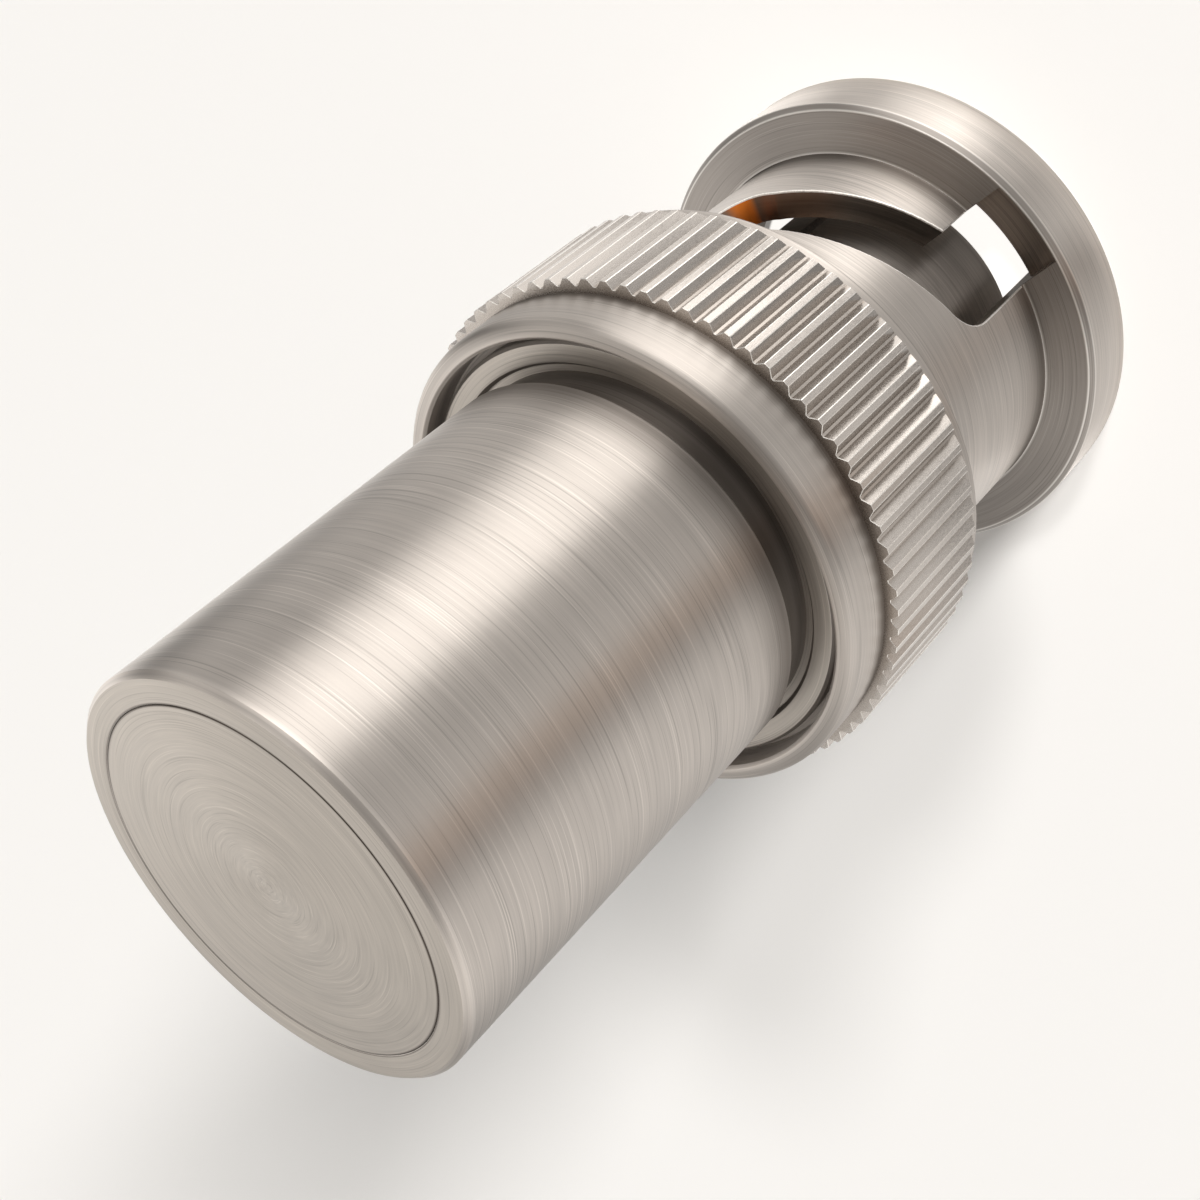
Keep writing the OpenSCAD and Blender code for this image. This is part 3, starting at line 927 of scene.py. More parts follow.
@dataclass
class CouplingNut:
    """The coupling nut: flange, slotted neck, knurled band and rounded rear collar."""

    length: float = 14.8 * MM
    bore_r: float = 4.9 * MM
    mouth_chamfer: float = 0.3 * MM
    neck_r: float = 5.68 * MM
    flange_r: float = 7.05 * MM
    flange_length: float = 1.92 * MM
    flange_bevel: float = 0.15 * MM
    mouth_bevel: float = 0.12 * MM
    shoulder_foot: float = 2.22 * MM
    ring_r: float = 7.04 * MM
    ring_w: float = 0.3 * MM
    knurl_bottom: float = 8.9 * MM
    knurl_top: float = 13.3 * MM
    knurl_r: float = 7.25 * MM
    root_r: float = 7.05 * MM
    land_w: float = 0.17 * MM
    root_w: float = 0.07 * MM
    teeth: int = 77
    collar_r: float = 6.87 * MM
    collar_round: float = 0.36 * MM
    rear_mouth_r: float = 6.34 * MM
    rear_chamfer: float = 0.08 * MM
    lip_r: float = 4.3 * MM
    lip_bottom: float = 13.32 * MM
    lip_top: float = 13.87 * MM
    entry_angle: float = math.radians(-96)
    entry_w: float = 2.5 * MM
    entry_floor: float = 1.6 * MM
    entry_top: float = 5.387 * MM
    entry_r: float = 6.86 * MM
    entry_corner: float = 1.05 * MM
    keyway_w: float = 2.5 * MM
    keyway_r: float = 5.61 * MM
    cam_start: float = 4.3 * MM
    cam_rise: float = 1.72 * MM
    cam_turn: float = math.radians(60)
    cam_lead: float = math.radians(4.96)
    cam_half: float = 1.187 * MM
    seat_r: float = 1.191 * MM
    gleam_lead: float = math.radians(8.4)
    slot_edge: float = 0.05 * MM
    sliver: float = 0.025 * MM
    tooth_edge: float = 0.014 * MM
    edge: float = 0.05 * MM
    fine_edge: float = 0.012 * MM
    past: float = 1.0 * MM

    TURNED = 0
    KNURLED = 1
    SHOULDER = 2
    EDGE_HIGHLIGHT = 3
    PHASES = 8
    ROOT = (7, 0, 1)
    ROOT_SIDES = (1, 7)
    LAND = (3, 4, 5)
    LAND_SIDES = (3, 5)
    CAM_STEPS = 24
    SEAT_STEPS = 64
    CORNER_STEPS = 8
    TOOTH_STEPS = 1
    SLOT_STEPS = 2
    NEAR = 0.02 * MM
    LONG = 1.0 * MM
    UPWARD = 0.5
    SQUARE = 0.9999
    # Reaches of the painted highlights on the edges, of the painted shade round the inner corners, and of the
    # darkening at the grooves' roots.
    EDGE_SHINE = 0.05 * MM
    FOOT_SHINE = 0.1 * MM
    RING_SHADE_REACH = 0.07 * MM
    CORNER_SHADE_REACH = 0.45 * MM
    FOOT_SHADE_REACH = 0.9 * MM
    GROOVE_DARK_REACH = 0.1 * MM

    def profile(self) -> list[Corner]:
        """Give the profile without the teeth.

        Returns:
            Corners from the mouth up the outside and down the inside.
        """
        return [
            Corner(self.bore_r + self.mouth_chamfer, 0, self.edge),
            Corner(self.flange_r - self.mouth_bevel, 0, self.edge),
            Corner(self.flange_r, self.mouth_bevel, self.edge),
            Corner(self.flange_r, self.flange_length, self.fine_edge),
            Corner(self.flange_r - self.flange_bevel, self.flange_length + self.flange_bevel, self.fine_edge),
            Corner(self.neck_r, self.shoulder_foot, self.edge),
            Corner(self.neck_r, self.knurl_bottom, self.edge),
            Corner(self.ring_r, self.knurl_bottom, self.edge),
            Corner(self.ring_r, self.knurl_bottom + self.ring_w),
            Corner(self.knurl_r, self.chamfer_top(self.knurl_r)),
            Corner(self.knurl_r, self.knurl_top),
            Corner(self.collar_r, self.knurl_top),
            Corner(self.collar_r, self.length, self.collar_round),
            Corner(self.rear_mouth_r + self.rear_chamfer, self.length, self.edge),
            Corner(self.rear_mouth_r, self.length - self.rear_chamfer),
            Corner(self.rear_mouth_r, self.lip_top),
            Corner(self.lip_r, self.lip_top),
            Corner(self.lip_r, self.lip_bottom),
            Corner(self.bore_r, self.lip_bottom),
            Corner(self.bore_r, self.mouth_chamfer, self.edge),
        ]

    def chamfer_top(self, radius: float) -> float:
        """Give the height at which the teeth's front chamfer reaches a radius."""
        foot = self.knurl_bottom + self.ring_w
        return foot + max(radius - self.ring_r, self.NEAR / 2)

    def wall_middle(self) -> float:
        """Give the radius midway through the neck's wall."""
        return (self.bore_r + self.neck_r) / 2

    def is_tooth(self, face: bpy.types.MeshPolygon) -> bool:
        """Tell whether a face belongs to the teeth."""
        low = self.knurl_bottom + self.ring_w
        middle = face.center
        return low < middle.z < self.knurl_top + self.NEAR and middle.xy.length > self.collar_r

    def phase(self, place: Vector) -> int:
        """Number a point's place within its tooth, from 0 at the groove's root."""
        return round(math.atan2(place.y, place.x) / FULL_TURN * self.teeth * self.PHASES) % self.PHASES

    def tooth_radius(self, phase: int) -> float:
        """Give the radius of a tooth at a phase: its land, the groove's root or the slope between them."""
        if phase in self.LAND:
            return self.knurl_r
        if phase in self.ROOT:
            return self.root_r
        angle = min(phase, self.PHASES - phase) * self.phase_angle()
        start = self.root_w / 2 / self.root_r
        end = self.PHASES / 2 * self.phase_angle() - self.land_w / 2 / self.knurl_r
        return self.root_r + (self.knurl_r - self.root_r) * (angle - start) / (end - start)

    def phase_angle(self) -> float:
        """Give the angle between two phases."""
        return FULL_TURN / self.teeth / self.PHASES

    def knurl(self, piece: bpy.types.Object) -> None:
        """Press the grooves between the teeth and set the widths of the lands and of the grooves' flat roots.

        Args:
            piece: Turned blank.
        """
        top = self.chamfer_top(self.knurl_r)
        for phase in range(self.PHASES):
            radius = self.tooth_radius(phase)
            if radius == self.knurl_r:
                continue
            growth = radius / self.knurl_r
            for height, rise in ((top, self.chamfer_top(radius) - top), (self.knurl_top, 0.0)):
                ring = self.at(piece, height, self.knurl_r, (phase,))
                Bench.select(piece, "VERT", ring)
                bpy.ops.transform.resize(value=(growth, growth, 1), center_override=(0, 0, height))
                bpy.ops.transform.translate(value=(0, 0, rise))
                bpy.ops.object.mode_set(mode="OBJECT")
        widen = self.land_w / 2 / self.knurl_r - self.phase_angle()
        narrow = self.phase_angle() - self.root_w / 2 / self.root_r
        flats = ((self.LAND_SIDES, self.knurl_r, widen), (self.ROOT_SIDES, self.root_r, narrow))
        for sides, radius, turn in flats:
            for phase, way in zip(sides, (turn, -turn)):
                for height in (self.chamfer_top(radius), self.knurl_top):
                    Bench.select(piece, "VERT", self.at(piece, height, radius, (phase,)))
                    bpy.ops.transform.rotate(value=way, orient_axis="Z", center_override=(0, 0, 0))
                    bpy.ops.object.mode_set(mode="OBJECT")

    def at(self, piece: bpy.types.Object, height: float, radius: float, phases: Sequence[int]) -> list[int]:
        """Find the vertices of a ring at some phases of the teeth.

        Args:
            piece: Piece that is searched.
            height: Height of the ring.
            radius: Radius of the ring.
            phases: Phases that are wanted.

        Returns:
            Vertices by number.
        """
        found = []
        for vertex in piece.data.vertices:
            place = vertex.co
            on_ring = abs(place.z - height) < self.NEAR and abs(place.xy.length - radius) < self.NEAR
            if on_ring and self.phase(place) in phases:
                found.append(vertex.index)
        return found

    def tooth_edges(self, piece: bpy.types.Object) -> list[int]:
        """Find the long edges of the lands and the outline of the teeth's rear ends.

        Args:
            piece: Knurled blank.

        Returns:
            Edges by number.
        """
        found = []
        rear = self.knurl_top - self.NEAR
        for edge in piece.data.edges:
            first, second = (piece.data.vertices[index].co for index in edge.vertices)
            if min(first.xy.length, second.xy.length) < self.root_r - self.NEAR:
                continue
            at_rear = min(first.z, second.z) > rear and max(first.z, second.z) < self.knurl_top + self.NEAR
            along = abs(first.z - second.z) > self.LONG and self.phase(first) in self.LAND_SIDES
            if along and first.xy.length > self.knurl_r - self.NEAR or at_rear:
                found.append(edge.index)
        return found

    def entry_cutter(self) -> bpy.types.Object:
        """Make the cutter of the entry, with its blind corner rounded."""
        half = self.entry_w / 2
        low = (self.bore_r - self.past, -half, self.entry_floor)
        cutter = Bench.block(low, (self.flange_r, half, self.entry_top))
        corner = []
        for edge in cutter.data.edges:
            ends = [cutter.data.vertices[index].co for index in edge.vertices]
            if all(end.y < 0 and end.z > self.entry_top - self.NEAR for end in ends):
                corner.append(edge.index)
        Bench.break_edges(cutter, corner, self.entry_corner, self.CORNER_STEPS)
        Bench.combine(cutter, self.rounding(self.entry_r), "INTERSECT")
        return cutter

    def rounding(self, radius: float) -> bpy.types.Object:
        """Make a long cylinder on the axis, which rounds the end of a cutter."""
        bpy.ops.object.select_all(action="DESELECT")
        steps = self.teeth * self.PHASES
        bpy.ops.mesh.primitive_cylinder_add(vertices=steps, radius=radius, depth=2 * self.length)
        return bpy.context.object

    def keyway_cutter(self) -> bpy.types.Object:
        """Make the cutter of the keyway through the flange."""
        half = self.keyway_w / 2
        top = self.entry_floor + self.past
        cutter = Bench.block((self.bore_r - self.past, -half, -self.past), (self.flange_r, half, top))
        Bench.combine(cutter, self.rounding(self.keyway_r), "INTERSECT")
        return cutter

    def cam_cutter(self) -> bpy.types.Object:
        """Make the cutter of the rising cam slot.

        Returns:
            A block whose end face is drawn round the axis and up.
        """
        low = (self.bore_r - self.past, -self.NEAR, self.cam_start - self.cam_half)
        high = (self.neck_r + self.past, 0, self.cam_start + self.cam_half)
        cutter = Bench.block(low, high)
        slope = self.cam_rise / self.cam_turn
        drop = Matrix.Translation((0, 0, -slope * self.cam_lead))
        cutter.data.transform(drop @ about_axis(-self.cam_lead))
        ahead = Vector((math.sin(self.cam_lead), math.cos(self.cam_lead), 0))
        cutter.data.update()
        front = [face.index for face in cutter.data.polygons if face.normal.dot(ahead) > self.SQUARE]
        Bench.select(cutter, "FACE", front)
        step = (self.cam_turn + self.cam_lead) / self.CAM_STEPS
        for _ in range(self.CAM_STEPS):
            bpy.ops.mesh.extrude_region_move(TRANSFORM_OT_translate={"value": (0, 0, slope * step)})
            bpy.ops.transform.rotate(value=-step, orient_axis="Z", center_override=(0, 0, 0))
        bpy.ops.mesh.select_all(action="SELECT")
        bpy.ops.mesh.normals_make_consistent(inside=False)
        bpy.ops.object.mode_set(mode="OBJECT")
        return cutter

    def seat_cutter(self) -> bpy.types.Object:
        """Make the cutter of the round seat at the end of the cam slot."""
        bpy.ops.object.select_all(action="DESELECT")
        bpy.ops.mesh.primitive_cylinder_add(
            vertices=self.SEAT_STEPS,
            radius=self.seat_r,
            depth=self.neck_r - self.bore_r + 2 * self.past,
            location=(self.wall_middle(), 0, self.cam_start + self.cam_rise),
            rotation=(0, math.pi / 2, 0),
        )
        bpy.ops.object.transform_apply(location=True, rotation=True, scale=True)
        cutter = bpy.context.object
        cutter.data.transform(about_axis(self.cam_turn))
        return cutter

    def slot_edges(self, piece: bpy.types.Object, milled: int) -> list[int]:
        """Find the outer edges of the slots.

        Args:
            piece: Slotted nut.
            milled: Place of the milled finish among its materials.

        Returns:
            Edges between a milled wall and the turned outside, by number.
        """
        kinds: dict[tuple[int, int], set[bool]] = {}
        for face in piece.data.polygons:
            for key in face.edge_keys:
                kinds.setdefault(key, set()).add(face.material_index == milled)
        limit = self.wall_middle()
        foot = self.shoulder_foot + self.NEAR
        found = []
        for edge in piece.data.edges:
            ends = [piece.data.vertices[index].co for index in edge.vertices]
            outside = all(end.xy.length > limit and end.z > foot for end in ends)
            if outside and kinds[edge.key] == {True, False}:
                found.append(edge.index)
        return found

    def outside(self, piece: bpy.types.Object, milled: int) -> list[int]:
        """Find the vertices that are left of the turned outside in front of the knurl.

        Args:
            piece: Slotted nut.
            milled: Place of the milled finish among its materials.

        Returns:
            Vertices by number.
        """
        limit = self.wall_middle()
        found: set[int] = set()
        for face in piece.data.polygons:
            if face.material_index not in (milled, self.EDGE_HIGHLIGHT) and face.center.xy.length > limit:
                found.update(face.vertices)
        return [index for index in found if piece.data.vertices[index].co.z < self.knurl_bottom - self.NEAR]

    def build(self) -> bpy.types.Object:
        """Turn, knurl and slot the nut.

        Returns:
            The finished nut with its materials.
        """
        piece = Bench.turn("coupling_nut_turned", self.profile(), self.teeth * self.PHASES)
        self.knurl(piece)
        for finish, name in self.finishes():
            piece.data.materials.append(finish.material(name))
        self.spread_finishes(piece)
        # The teeth's bevels get the painted edge highlight.
        Bench.break_edges(piece, self.tooth_edges(piece), self.tooth_edge, self.TOOTH_STEPS, self.EDGE_HIGHLIGHT)
        blank = piece.copy()
        blank.data = piece.data.copy()
        bpy.context.collection.objects.link(blank)
        Bench.smooth(blank)
        milled = self.mill(piece)
        ends = {end for edge in self.slot_edges(piece, milled) for end in piece.data.edges[edge].vertices}
        Bench.select(piece, "VERT", ends)
        bpy.ops.mesh.remove_doubles(threshold=self.sliver)
        bpy.ops.object.mode_set(mode="OBJECT")
        Bench.break_edges(piece, self.slot_edges(piece, milled), self.slot_edge, self.SLOT_STEPS, self.EDGE_HIGHLIGHT)
        Bench.smooth(piece)
        Bench.keep_shading(piece, blank, self.outside(piece, milled))
        self.flatten_teeth(piece)
        # Painted shade on the entries' floors.
        pocket = TurnedMetal(NICKEL_POCKET_SHADE, roughness=0.36, anisotropy=0.5, contrast=0.3)
        Bench.finish_where(piece, pocket.material("nut_pocket_nickel"), self.in_pocket)
        return piece

    def in_pocket(self, face: bpy.types.MeshPolygon) -> bool:
        """Tell whether a face is the floor of an entry."""
        return abs(face.center.z - self.entry_floor) < self.NEAR and face.normal.z > FLAT_NORMAL

    def finishes(self) -> tuple[tuple[TurnedMetal | GrainedMetal, str], ...]:
        """Give the finishes of the outside with their names, in the order of their places."""
        bevel = self.flange_bevel
        # Painted highlights on the edges.
        flange_edge = Ring(self.flange_r, self.flange_length, self.EDGE_SHINE)
        shoulder_edge = Ring(self.flange_r - bevel, self.flange_length + bevel, self.EDGE_SHINE)
        foot_edge = Ring(self.neck_r, self.shoulder_foot, self.FOOT_SHINE)
        rear_edge = Ring(self.rear_mouth_r + self.rear_chamfer, self.length, RIM_SHINE)
        turned = TurnedMetal(
            NICKEL,
            edges=(flange_edge, rear_edge),
            # Painted shade round the inner corners.
            corners=(
                Ring(self.ring_r, self.knurl_bottom, self.RING_SHADE_REACH),
                Ring(self.neck_r, self.knurl_bottom, self.CORNER_SHADE_REACH),
                Ring(self.neck_r, self.shoulder_foot, self.FOOT_SHADE_REACH),
                Ring(self.collar_r, self.knurl_top, self.CORNER_SHADE_REACH),
            ),
        )
        # Painted shade: the shoulder cone in a darker colour, with painted highlights on its edges.
        shoulder = TurnedMetal(
            NICKEL_SHADE,
            roughness=0.36,
            anisotropy=0.6,
            edges=(flange_edge, shoulder_edge, foot_edge),
            edge_colour=NICKEL_EDGE,
        )
        # Darker towards the grooves' roots, with painted shade on one flank of each tooth.
        knurled = GrainedMetal(
            NICKEL_KNURL,
            floor_r=self.root_r,
            floor_w=self.GROOVE_DARK_REACH,
            floor_share=0.5,
            flank_share=0.65,
        )
        # Painted highlight on the bevelled edges of the teeth and the slots.
        edge_highlight = GrainedMetal(NICKEL_EDGE, roughness=0.42, stretch=1.0, contrast=0.4)
        return (
            (turned, "nut_turned_nickel"),
            (knurled, "nut_knurled_nickel"),
            (shoulder, "nut_shoulder_nickel"),
            (edge_highlight, "nut_edge_highlight_nickel"),
        )

    def spread_finishes(self, piece: bpy.types.Object) -> None:
        """Give each face of the unslotted nut the place of its finish.

        Args:
            piece: Knurled blank.
        """
        shoulder_low = self.flange_length + self.fine_edge
        for face in piece.data.polygons:
            face.material_index = self.TURNED
            if self.is_tooth(face):
                face.material_index = self.KNURLED
            elif shoulder_low < face.center.z < self.shoulder_foot and face.normal.z > self.UPWARD:
                face.material_index = self.SHOULDER

    def mill(self, piece: bpy.types.Object) -> int:
        """Mill both bayonet slots.

        Args:
            piece: Nut that is slotted.

        Returns:
            Place of the milled finish among its materials.
        """
        seat = self.entry_angle + self.cam_turn
        # Painted shade: the slot walls in a dark colour, with painted reflections inside the slots.
        finish = TurnedMetal(
            NICKEL_SLOT_SHADE,
            roughness=0.34,
            anisotropy=0.6,
            contrast=0.45,
            line_rise=40.0,
            glows=(
                Glow(seat, full=math.radians(6), reach=math.radians(24), colour=SLOT_WARM_REFLECTION, share=0.7),
                Glow(
                    seat + self.gleam_lead,
                    full=math.radians(0.2),
                    reach=math.radians(3.3),
                    colour=GASKET_GLEAM,
                    share=0.9,
                ),
            ),
        ).material("nut_milled_nickel")
        for maker in (self.entry_cutter, self.keyway_cutter, self.cam_cutter, self.seat_cutter):
            cutter = maker()
            cutter.data.materials.clear()
            cutter.data.materials.append(finish)
            for face in cutter.data.polygons:
                face.material_index = 0
            Bench.combine(piece, Bench.copies(cutter, (self.entry_angle, self.entry_angle + math.pi)))
        return piece.data.materials.find(finish.name)

    def flatten_teeth(self, piece: bpy.types.Object) -> None:
        """Shade the teeth flat, so that their edges stay crisp.

        Args:
            piece: Finished nut.
        """
        Bench.select(piece, "FACE", [face.index for face in piece.data.polygons if self.is_tooth(face)])
        bpy.ops.mesh.faces_shade_flat()
        bpy.ops.object.mode_set(mode="OBJECT")


@dataclass
class PlugBody:
    """The turned body: journal, stop ring in the nut's rear mouth, neck and spigot."""

    front: float = 11.07 * MM
    shank_r: float = 3.61 * MM
    journal_r: float = 4.25 * MM
    groove_r: float = 3.85 * MM
    groove_bottom: float = 11.72 * MM
    groove_top: float = 12.13 * MM
    stop_r: float = 6.14 * MM
    stop_bottom: float = 13.9 * MM
    stop_top: float = 14.4 * MM
    stop_chamfer: float = 0.09 * MM
    relief_r: float = 5.47 * MM
    relief_depth: float = 0.18 * MM
    neck_r: float = 5.25 * MM
    neck_top: float = 15.1 * MM
    spigot_r: float = 4.6 * MM
    spigot_top: float = 18.1 * MM
    bore_r: float = 3.3 * MM
    shank_top: float = 13.38 * MM
    edge: float = 0.03 * MM

    SEGMENTS = 256
    NECK_SHADE_REACH = 1.0 * MM

    def build(self) -> bpy.types.Object:
        """Turn the body.

        Returns:
            The finished body.
        """
        relief = self.stop_top - self.relief_depth
        corners = [
            Corner(self.shank_r, self.front),
            Corner(self.journal_r, self.front, self.edge),
            Corner(self.journal_r, self.groove_bottom),
            Corner(self.groove_r, self.groove_bottom),
            Corner(self.groove_r, self.groove_top),
            Corner(self.journal_r, self.groove_top),
            Corner(self.journal_r, self.stop_bottom),
            Corner(self.stop_r, self.stop_bottom),
            Corner(self.stop_r, self.stop_top - self.stop_chamfer, self.edge),
            Corner(self.stop_r - self.stop_chamfer, self.stop_top, self.edge),
            Corner(self.relief_r + self.stop_chamfer, self.stop_top, self.edge),
            Corner(self.relief_r, self.stop_top - self.stop_chamfer, self.edge),
            Corner(self.relief_r, relief),
            Corner(self.neck_r, relief),
            Corner(self.neck_r, self.neck_top),
            Corner(self.spigot_r, self.neck_top),
            Corner(self.spigot_r, self.spigot_top),
            Corner(self.bore_r, self.spigot_top),
            Corner(self.bore_r, self.shank_top),
            Corner(self.shank_r, self.shank_top),
        ]
        piece = Bench.turn("plug_body_turned", corners, self.SEGMENTS)
        # Painted shade: a darker colour, darkened further round the neck, with painted highlights on the stop
        # ring's edges.
        finish = TurnedMetal(
            NICKEL_SHADE,
            edges=tuple(Ring(radius, self.stop_top, RIM_SHINE) for radius in (self.stop_r, self.relief_r)),
            corners=tuple(Ring(self.neck_r, height, self.NECK_SHADE_REACH) for height in (relief, self.neck_top)),
            corner_share=0.8,
        )
        piece.data.materials.append(finish.material("body_turned_nickel"))
        Bench.finish_where(piece, FACED.material("body_faced_nickel"), is_flat)
        Bench.smooth(piece)
        return piece


@dataclass
class LoadHousing:
    """The smooth barrel that holds the load, and the cap pressed into its rear end."""

    front: float = 15.11 * MM
    rear: float = 27.6 * MM
    barrel_r: float = 5.49 * MM
    front_chamfer: float = 0.2 * MM
    rear_chamfer: float = 0.14 * MM
    socket_r: float = 4.61 * MM
    socket_top: float = 18.11 * MM
    cavity_r: float = 4.2 * MM
    counter_bottom: float = 25.3 * MM
    counter_r: float = 4.72 * MM
    cap_r: float = 4.71 * MM
    cap_bottom: float = 25.81 * MM
    recess_r: float = 1.9 * MM
    recess_top: float = 26.51 * MM
    centre_r: float = 0.15 * MM
    joint_chamfer: float = 0.015 * MM
    edge: float = 0.03 * MM
    fine_edge: float = 0.008 * MM

    SEGMENTS = 384
    FRONT_SHADE_REACH = 1.7 * MM

    def build_barrel(self) -> bpy.types.Object:
        """Turn the barrel.

        Returns:
            The finished barrel.
        """
        corners = [
            Corner(self.socket_r, self.front),
            Corner(self.barrel_r - self.front_chamfer, self.front, self.edge),
            Corner(self.barrel_r, self.front + self.front_chamfer, self.edge),
            Corner(self.barrel_r, self.rear - self.rear_chamfer, self.edge),
            Corner(self.barrel_r - self.rear_chamfer, self.rear, self.edge),
            Corner(self.counter_r + self.joint_chamfer, self.rear, self.fine_edge),
            Corner(self.counter_r, self.rear - self.joint_chamfer),
            Corner(self.counter_r, self.counter_bottom),
            Corner(self.cavity_r, self.counter_bottom),
            Corner(self.cavity_r, self.socket_top),
            Corner(self.socket_r, self.socket_top),
        ]
        piece = Bench.turn("load_housing_turned", corners, self.SEGMENTS)
        # Painted highlights on the rims, and painted shade towards the nut.
        finish = TurnedMetal(
            NICKEL,
            edges=(
                Ring(self.barrel_r, self.front + self.front_chamfer, RIM_SHINE),
                Ring(self.barrel_r, self.rear - self.rear_chamfer, RIM_SHINE),
                Ring(self.barrel_r - self.rear_chamfer, self.rear, RIM_SHINE),
            ),
            corners=(Ring(self.barrel_r, self.front, self.FRONT_SHADE_REACH),),
            corner_share=0.75,
        )
        piece.data.materials.append(finish.material("barrel_brushed_nickel"))
        Bench.finish_where(piece, JOINTED.material("barrel_faced_nickel"), is_flat)
        Bench.smooth(piece)
        return piece

    def build_cap(self) -> bpy.types.Object:
        """Turn the end cap.

        Returns:
            The finished cap.
        """
        corners = [
            Corner(self.centre_r, self.recess_top),
            Corner(self.recess_r, self.recess_top),
            Corner(self.recess_r, self.cap_bottom, self.edge),
            Corner(self.cap_r, self.cap_bottom, self.edge),
            Corner(self.cap_r, self.rear - self.joint_chamfer),
            Corner(self.cap_r - self.joint_chamfer, self.rear, self.fine_edge),
            Corner(self.centre_r, self.rear),
        ]
        piece = Bench.turn("end_cap_turned", corners, self.SEGMENTS, closed=False)
        return Bench.finish(piece, JOINTED, "cap_ringed_nickel")


@dataclass
class ContactSet:
    """The outer contact sleeve with its spring fingers, its insulator, the pin and the gasket."""

    sleeve_r: float = 4.025 * MM
    sleeve_bore: float = 3.3 * MM
    sleeve_front: float = 0.8 * MM
    sleeve_chamfer: float = 0.12 * MM
    relief_r: float = 3.825 * MM
    relief_bottom: float = 10.62 * MM
    body_front: float = 11.07 * MM
    shank_r: float = 3.6 * MM
    shank_top: float = 13.37 * MM
    slit_w: float = 0.4 * MM
    slit_angle: float = math.radians(55)
    slits: int = 4
    finger_length: float = 6.3 * MM
    insulator_r: float = 3.29 * MM
    tube_r: float = 3.05 * MM
    tube_front: float = 1.7 * MM
    socket_r: float = 2.415 * MM
    socket_floor: float = 6.9 * MM
    root_r: float = 0.95 * MM
    shoulder_bottom: float = 10.0 * MM
    shoulder_top: float = 10.8 * MM
    shoulder_r: float = 1.2 * MM
    pin_r: float = 0.675 * MM
    pin_front: float = 1.6 * MM
    tip_r: float = 0.2 * MM
    tip_length: float = 0.7 * MM
    nose_r: float = 0.3375 * MM
    nose_length: float = 0.0875 * MM
    cup_r: float = 0.95 * MM
    cup_top: float = 17.3 * MM
    cup_floor: float = 14.7 * MM
    hole_r: float = 0.38 * MM
    gasket_r: float = 4.75 * MM
    gasket_bore: float = 4.26 * MM
    gasket_bottom: float = 10.92 * MM
    gasket_top: float = 11.72 * MM
    press_gap: float = 0.01 * MM
    edge: float = 0.05 * MM
    gasket_edge: float = 0.12 * MM
    past: float = 1.0 * MM

    SEGMENTS = 224
    CORE_SEGMENTS = 96

    def build_sleeve(self) -> bpy.types.Object:
        """Turn the sleeve and slit its fingers.

        Returns:
            The finished sleeve.
        """
        corners = [
            Corner(self.sleeve_bore + self.sleeve_chamfer, self.sleeve_front, self.edge),
            Corner(self.sleeve_r - self.sleeve_chamfer, self.sleeve_front, self.edge),
            Corner(self.sleeve_r, self.sleeve_front + self.sleeve_chamfer, self.edge),
            Corner(self.sleeve_r, self.relief_bottom, self.edge),
            Corner(self.relief_r, self.relief_bottom),
            Corner(self.relief_r, self.body_front),
            Corner(self.shank_r, self.body_front),
            Corner(self.shank_r, self.shank_top),
            Corner(self.sleeve_bore, self.shank_top),
            Corner(self.sleeve_bore, self.sleeve_front + self.sleeve_chamfer, self.edge),
        ]
        piece = Bench.turn("contact_sleeve_turned", corners, self.SEGMENTS)
        # Painted highlight along the front rim.
        rim = Ring(self.sleeve_r, self.sleeve_front + self.sleeve_chamfer, RIM_SHINE)
        finish = TurnedMetal(NICKEL_SLEEVE, contrast=0.25, edges=(rim,))
        piece.data.materials.append(finish.material("sleeve_turned_nickel"))
        half = self.slit_w / 2
        low = (self.sleeve_bore - self.past, -half, self.sleeve_front - self.past)
        high = (self.sleeve_r + self.past, half, self.sleeve_front + self.finger_length)
        angles = [self.slit_angle + FULL_TURN * number / self.slits for number in range(self.slits)]
        Bench.combine(piece, Bench.copies(Bench.block(low, high), angles))
        Bench.smooth(piece)
        return piece

    def build_insulator(self) -> bpy.types.Object:
        """Turn the front insulator with the socket round the pin.

        Returns:
            The finished insulator.
        """
        finger_end = self.sleeve_front + self.finger_length
        hole = self.root_r + self.press_gap
        corners = [
            Corner(self.socket_r, self.tube_front, self.edge),
            Corner(self.tube_r, self.tube_front, self.edge),
            Corner(self.tube_r, finger_end, self.edge),
            Corner(self.insulator_r, finger_end),
            Corner(self.insulator_r, self.shoulder_bottom),
            Corner(hole, self.shoulder_bottom),
            Corner(hole, self.socket_floor),
            Corner(self.socket_r, self.socket_floor, self.edge),
        ]
        piece = Bench.turn("front_dielectric_turned", corners, self.CORE_SEGMENTS)
        return Bench.finish(piece, WHITE_INSULATOR, "white_insulator")

    def build_contact(self) -> bpy.types.Object:
        """Turn the centre contact with its tip, root, shoulder and solder cup.

        Returns:
            The finished contact.
        """
        shoulder = self.shoulder_bottom + self.press_gap
        corners = [
            Corner(self.tip_r, self.pin_front),
            Corner(self.nose_r, self.pin_front + self.nose_length),
            Corner(self.pin_r, self.pin_front + self.tip_length, self.edge),
            Corner(self.pin_r, self.socket_floor),
            Corner(self.root_r, self.socket_floor, self.edge),
            Corner(self.root_r, shoulder),
            Corner(self.shoulder_r, shoulder, self.edge),
            Corner(self.shoulder_r, self.shoulder_top, self.edge),
            Corner(self.cup_r, self.shoulder_top),
            Corner(self.cup_r, self.cup_top, self.edge),
            Corner(self.hole_r, self.cup_top),
            Corner(self.hole_r, self.cup_floor),
        ]
        piece = Bench.turn("centre_contact_turned", corners, self.CORE_SEGMENTS, closed=False)
        return Bench.finish(piece, GOLD_PLATE, "gold_plate")

